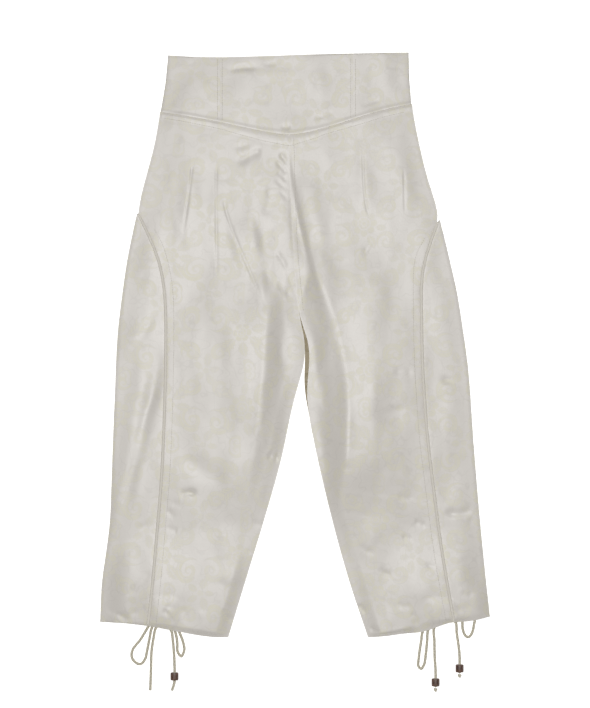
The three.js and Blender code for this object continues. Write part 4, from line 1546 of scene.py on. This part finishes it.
def coordinates(tree, kind):
    return tree.nodes.new("ShaderNodeTexCoord").outputs[kind]


GROUND = (214, 209, 202)
MOTIF = (215, 210, 191)
# The wrong side is a darker tan: painted shade for the inside of the garment, which shows in shadow through
# the slit at the crotch.
WRONG_SIDE_SHADE_GROUND = (168, 156, 130)
WRONG_SIDE_SHADE_MOTIF = (150, 138, 110)
OUTLINE_DARKER = 7
PATCH_DARKER = 7
# How many blotches, tendrils, darker patches and crumples there are to a metre of cloth.
BLOTCH_SCALE = 14.0
TENDRIL_SCALE = 42.0
PATCH_SCALE = 45.0
CRUMPLE_SCALE = 60.0
CRUMPLE_DEPTH = 0.5
CRUMPLE_STRENGTH = 0.12
WEAVE_DEPTH = 0.05
WEAVE_STRENGTH = 0.25
# Roughness of the ground and of the motifs.
RIGHT_GLOSS = (0.39, 0.43)
WRONG_GLOSS = (0.75, 0.85)


def cloth_material(name, ground, motif_tone, gloss):
    material, tree, shader = new_material(name)
    shine, dull = gloss
    cut = coordinates(tree, "UV")
    motif = use(tree, jacquard, Vector=cut)["Motif"]
    blotch = noise_of(tree, cut, BLOTCH_SCALE, 3.0, 0.6)
    share = both(tree, motif, calc(tree, "MULTIPLY_ADD", soft(tree, blotch, 0.3, 0.7), 0.5, 0.5))
    colour = colour_mix(tree, share, tone(*ground), tone(*motif_tone))
    outline = soft(tree, calc(tree, "ABSOLUTE", calc(tree, "SUBTRACT", motif, 0.5)), 0.5, 0.1)
    edge_tone = [value - OUTLINE_DARKER for value in ground]
    curl = noise_of(tree, cut, TENDRIL_SCALE, 1.0, 0.5)
    tendril = soft(tree, calc(tree, "ABSOLUTE", calc(tree, "SUBTRACT", curl, 0.5)), 0.022, 0.0)
    colour = colour_mix(tree, both(tree, either(tree, outline, tendril), 0.8), colour, tone(*edge_tone))
    # The cloth is made darker in random patches of a noise.
    worn = noise_of(tree, cut, PATCH_SCALE, 4.0, 0.65)
    darker = [value - PATCH_DARKER for value in ground]
    colour = colour_mix(tree, both(tree, soft(tree, worn, 0.45, 0.75), 0.35), colour, tone(*darker))
    feed(tree, shader["Base Color"], colour)
    feed(tree, shader["Roughness"], calc(tree, "MULTIPLY_ADD", share, dull - shine, shine))
    shader["Sheen Weight"].default_value = 0.12
    shader["Specular IOR Level"].default_value = 0.62
    crumples = noise_of(tree, cut, CRUMPLE_SCALE, 3.0, 0.55)
    crumpled = bump(tree, crumples, CRUMPLE_DEPTH * MM, CRUMPLE_STRENGTH)
    threads = use(tree, weave, Vector=cut)["Height"]
    feed(tree, shader["Normal"], bump(tree, threads, WEAVE_DEPTH * MM, WEAVE_STRENGTH, crumpled))
    return material


right_side_finish = cloth_material("ivory jacquard", GROUND, MOTIF, RIGHT_GLOSS)
# The finish of the wrong side carries painted shade in its darker tan colours.
wrong_side_shade_finish = cloth_material("jacquard wrong side in painted shade", WRONG_SIDE_SHADE_GROUND, WRONG_SIDE_SHADE_MOTIF, WRONG_GLOSS)
for node, shell in shells.items():
    shell.data.materials.append(right_side_finish)
    shell.data.materials.append(wrong_side_shade_finish)
    wrong_side(shell, node)
print("cloth finished")

# %% [markdown]
# The piping is covered with a bias strip, which shows as faint slanting ribs over the cord. The thread is
# a matt twist. The laces are undyed cotton, darker in the gaps of the braid, which the UV map round and
# along the cord brings out.

# %% Piping, thread and laces
PIPING_TONE = (227, 222, 212)
PIPING_SHADE = (216, 210, 199)
PIPING_RIB = 2.2
THREAD_TONE = (207, 202, 190)
THREAD_SHADE = (186, 180, 166)
LACE_TONE = (212, 206, 188)
LACE_SHADE = (176, 168, 146)

piping_finish, tree, shader = new_material("piping satin")
x, y = split(tree, placed(tree, coordinates(tree, "Object"), size=MM))
slant = calc(tree, "MULTIPLY_ADD", x, 0.8, y)
rib = calc(tree, "ABSOLUTE", calc(tree, "SINE", both(tree, slant, math.pi / PIPING_RIB)))
spots = noise_of(tree, coordinates(tree, "Object"), 160.0, 3.0)
share = calc(tree, "MULTIPLY_ADD", rib, -0.4, calc(tree, "ADD", spots, 0.05))
feed(tree, shader["Base Color"], colour_mix(tree, share, tone(*PIPING_TONE), tone(*PIPING_SHADE)))
feed(tree, shader["Roughness"], calc(tree, "MULTIPLY_ADD", spots, 0.2, 0.5))
feed(tree, shader["Normal"], bump(tree, rib, 0.12 * MM, 0.6))
shader["Sheen Weight"].default_value = 0.15
for welt in piping_pieces.values():
    welt.data.materials.append(piping_finish)

thread_finish, tree, shader = new_material("ivory thread")
twist = noise_of(tree, placed(tree, coordinates(tree, "Object"), degrees=35, size=MM, squash=0.3), 1.6, 2.0)
feed(tree, shader["Base Color"], colour_mix(tree, twist, tone(*THREAD_TONE), tone(*THREAD_SHADE)))
feed(tree, shader["Roughness"], calc(tree, "MULTIPLY_ADD", twist, 0.2, 0.6))
feed(tree, shader["Normal"], bump(tree, twist, 0.05 * MM))
stitching.data.materials.append(thread_finish)

lace_finish, tree, shader = new_material("braided cotton")
round_it, along = split(tree, coordinates(tree, "UV"))
turn = both(tree, round_it, 2 * BRAID_STRANDS / (LACE * MM))
climb = both(tree, along, 2 * math.pi / BRAID_PITCH)
one_way = calc(tree, "SINE", calc(tree, "ADD", turn, climb))
other_way = calc(tree, "SINE", calc(tree, "SUBTRACT", turn, climb))
strand = either(tree, one_way, other_way)
fibres = noise_of(tree, placed(tree, coordinates(tree, "UV"), size=MM, squash=3), 3.0, 3.0, 0.7)
share = calc(tree, "ADD", soft(tree, strand, 0.75, -0.1), calc(tree, "MULTIPLY_ADD", fibres, 0.7, -0.3))
feed(tree, shader["Base Color"], colour_mix(tree, share, tone(*LACE_TONE), tone(*LACE_SHADE)))
feed(tree, shader["Roughness"], calc(tree, "MULTIPLY_ADD", fibres, 0.2, 0.7))
feed(tree, shader["Normal"], bump(tree, fibres, 0.12 * MM, 0.7))
shader["Sheen Weight"].default_value = 0.2
for piece in bpy.data.objects:
    if piece.name.endswith(("_braid", "_tied")):
        piece.data.materials.append(lace_finish)
print("piping, thread and laces finished")

# %% [markdown]
# The beads are a dark hardwood, stained and waxed. Their grain runs along the hole in long bent streaks,
# and a lighter, redder brown is painted on the convex rims as a highlight.

# %% Wood and floor
WOOD_DARK = (58, 42, 36)
WOOD_LIGHT = (112, 76, 56)
# A painted highlight: the lighter, redder brown that goes on the convex rims.
WOOD_RIM_HIGHLIGHT = (132, 92, 68)
FLOOR_TONE = (252, 252, 252)
FLOOR_GLOW = 0.6

wood_finish, tree, shader = new_material("dark waxed wood")
grain = noise_of(tree, placed(tree, coordinates(tree, "Object"), size=MM, squash=6), 1.1, 4.0, 0.6)
pores = noise_of(tree, placed(tree, coordinates(tree, "Object"), size=MM, squash=9), 3.5, 2.0, 0.5)
wood = colour_mix(tree, soft(tree, grain, 0.35, 0.68), tone(*WOOD_DARK), tone(*WOOD_LIGHT))
pointed = tree.nodes.new("ShaderNodeNewGeometry").outputs["Pointiness"]
# Painted highlight on the convex rims, where the pointiness is high.
wood = colour_mix(tree, both(tree, soft(tree, pointed, 0.52, 0.62), 0.6), wood, tone(*WOOD_RIM_HIGHLIGHT))
feed(tree, shader["Base Color"], wood)
feed(tree, shader["Roughness"], calc(tree, "MULTIPLY_ADD", grain, 0.25, 0.28))
feed(tree, shader["Normal"], bump(tree, pores, 0.15 * MM, 0.5))
for piece in bpy.data.objects:
    if piece.name.endswith("_wood"):
        piece.data.materials.append(wood_finish)

floor_finish, tree, shader = new_material("white floor")
shader["Base Color"].default_value = tone(*FLOOR_TONE)
shader["Roughness"].default_value = 0.9
shader["Specular IOR Level"].default_value = 0.0
shader["Emission Color"].default_value = (1, 1, 1, 1)
shader["Emission Strength"].default_value = FLOOR_GLOW
print("wood and floor finished")

# %% [markdown]


# %% [markdown]
# ## Floor and light
#
# A flat lay on white wants a floor that stays paler than the cloth and hardly shows a shadow, so it is
# near white and glows a little. One broad soft light hangs straight above. Satin shines back to it where it
# lies level and falls darker where it tilts, so the folds draw themselves as soft dark bands. A weak even
# surround fills the rest.

# %% Floor
FLOOR_SIZE = 40.0
FLOOR_DROP = 0.0005

bpy.ops.object.select_all(action="DESELECT")
bpy.ops.mesh.primitive_plane_add(size=FLOOR_SIZE, location=(0, 0, -FLOOR_DROP))
floor = bpy.context.object
floor.name = "floor"
place_in_mesh(floor)
floor.data.materials.append(floor_finish)

# %% Light
KEY_POWER = 85.5
KEY_SIZE = 1.2
KEY_PLACE = (-0.05, 0.1, 3.8)
SURROUND = 0.2

key_data = bpy.data.lights.new("key", "AREA")
key_data.energy = KEY_POWER
key_data.size = KEY_SIZE
key = bpy.data.objects.new("key", key_data)
key.location = KEY_PLACE
key.rotation_euler = (-Vector(KEY_PLACE)).to_track_quat("-Z", "Y").to_euler()
bpy.context.scene.collection.objects.link(key)

world = bpy.data.worlds.new("surround")
bpy.context.scene.world = world
world.use_nodes = True
world.node_tree.nodes["Background"].inputs["Color"].default_value = (1, 1, 1, 1)
world.node_tree.nodes["Background"].inputs["Strength"].default_value = SURROUND
bpy.context.scene.view_settings.view_transform = "Standard"
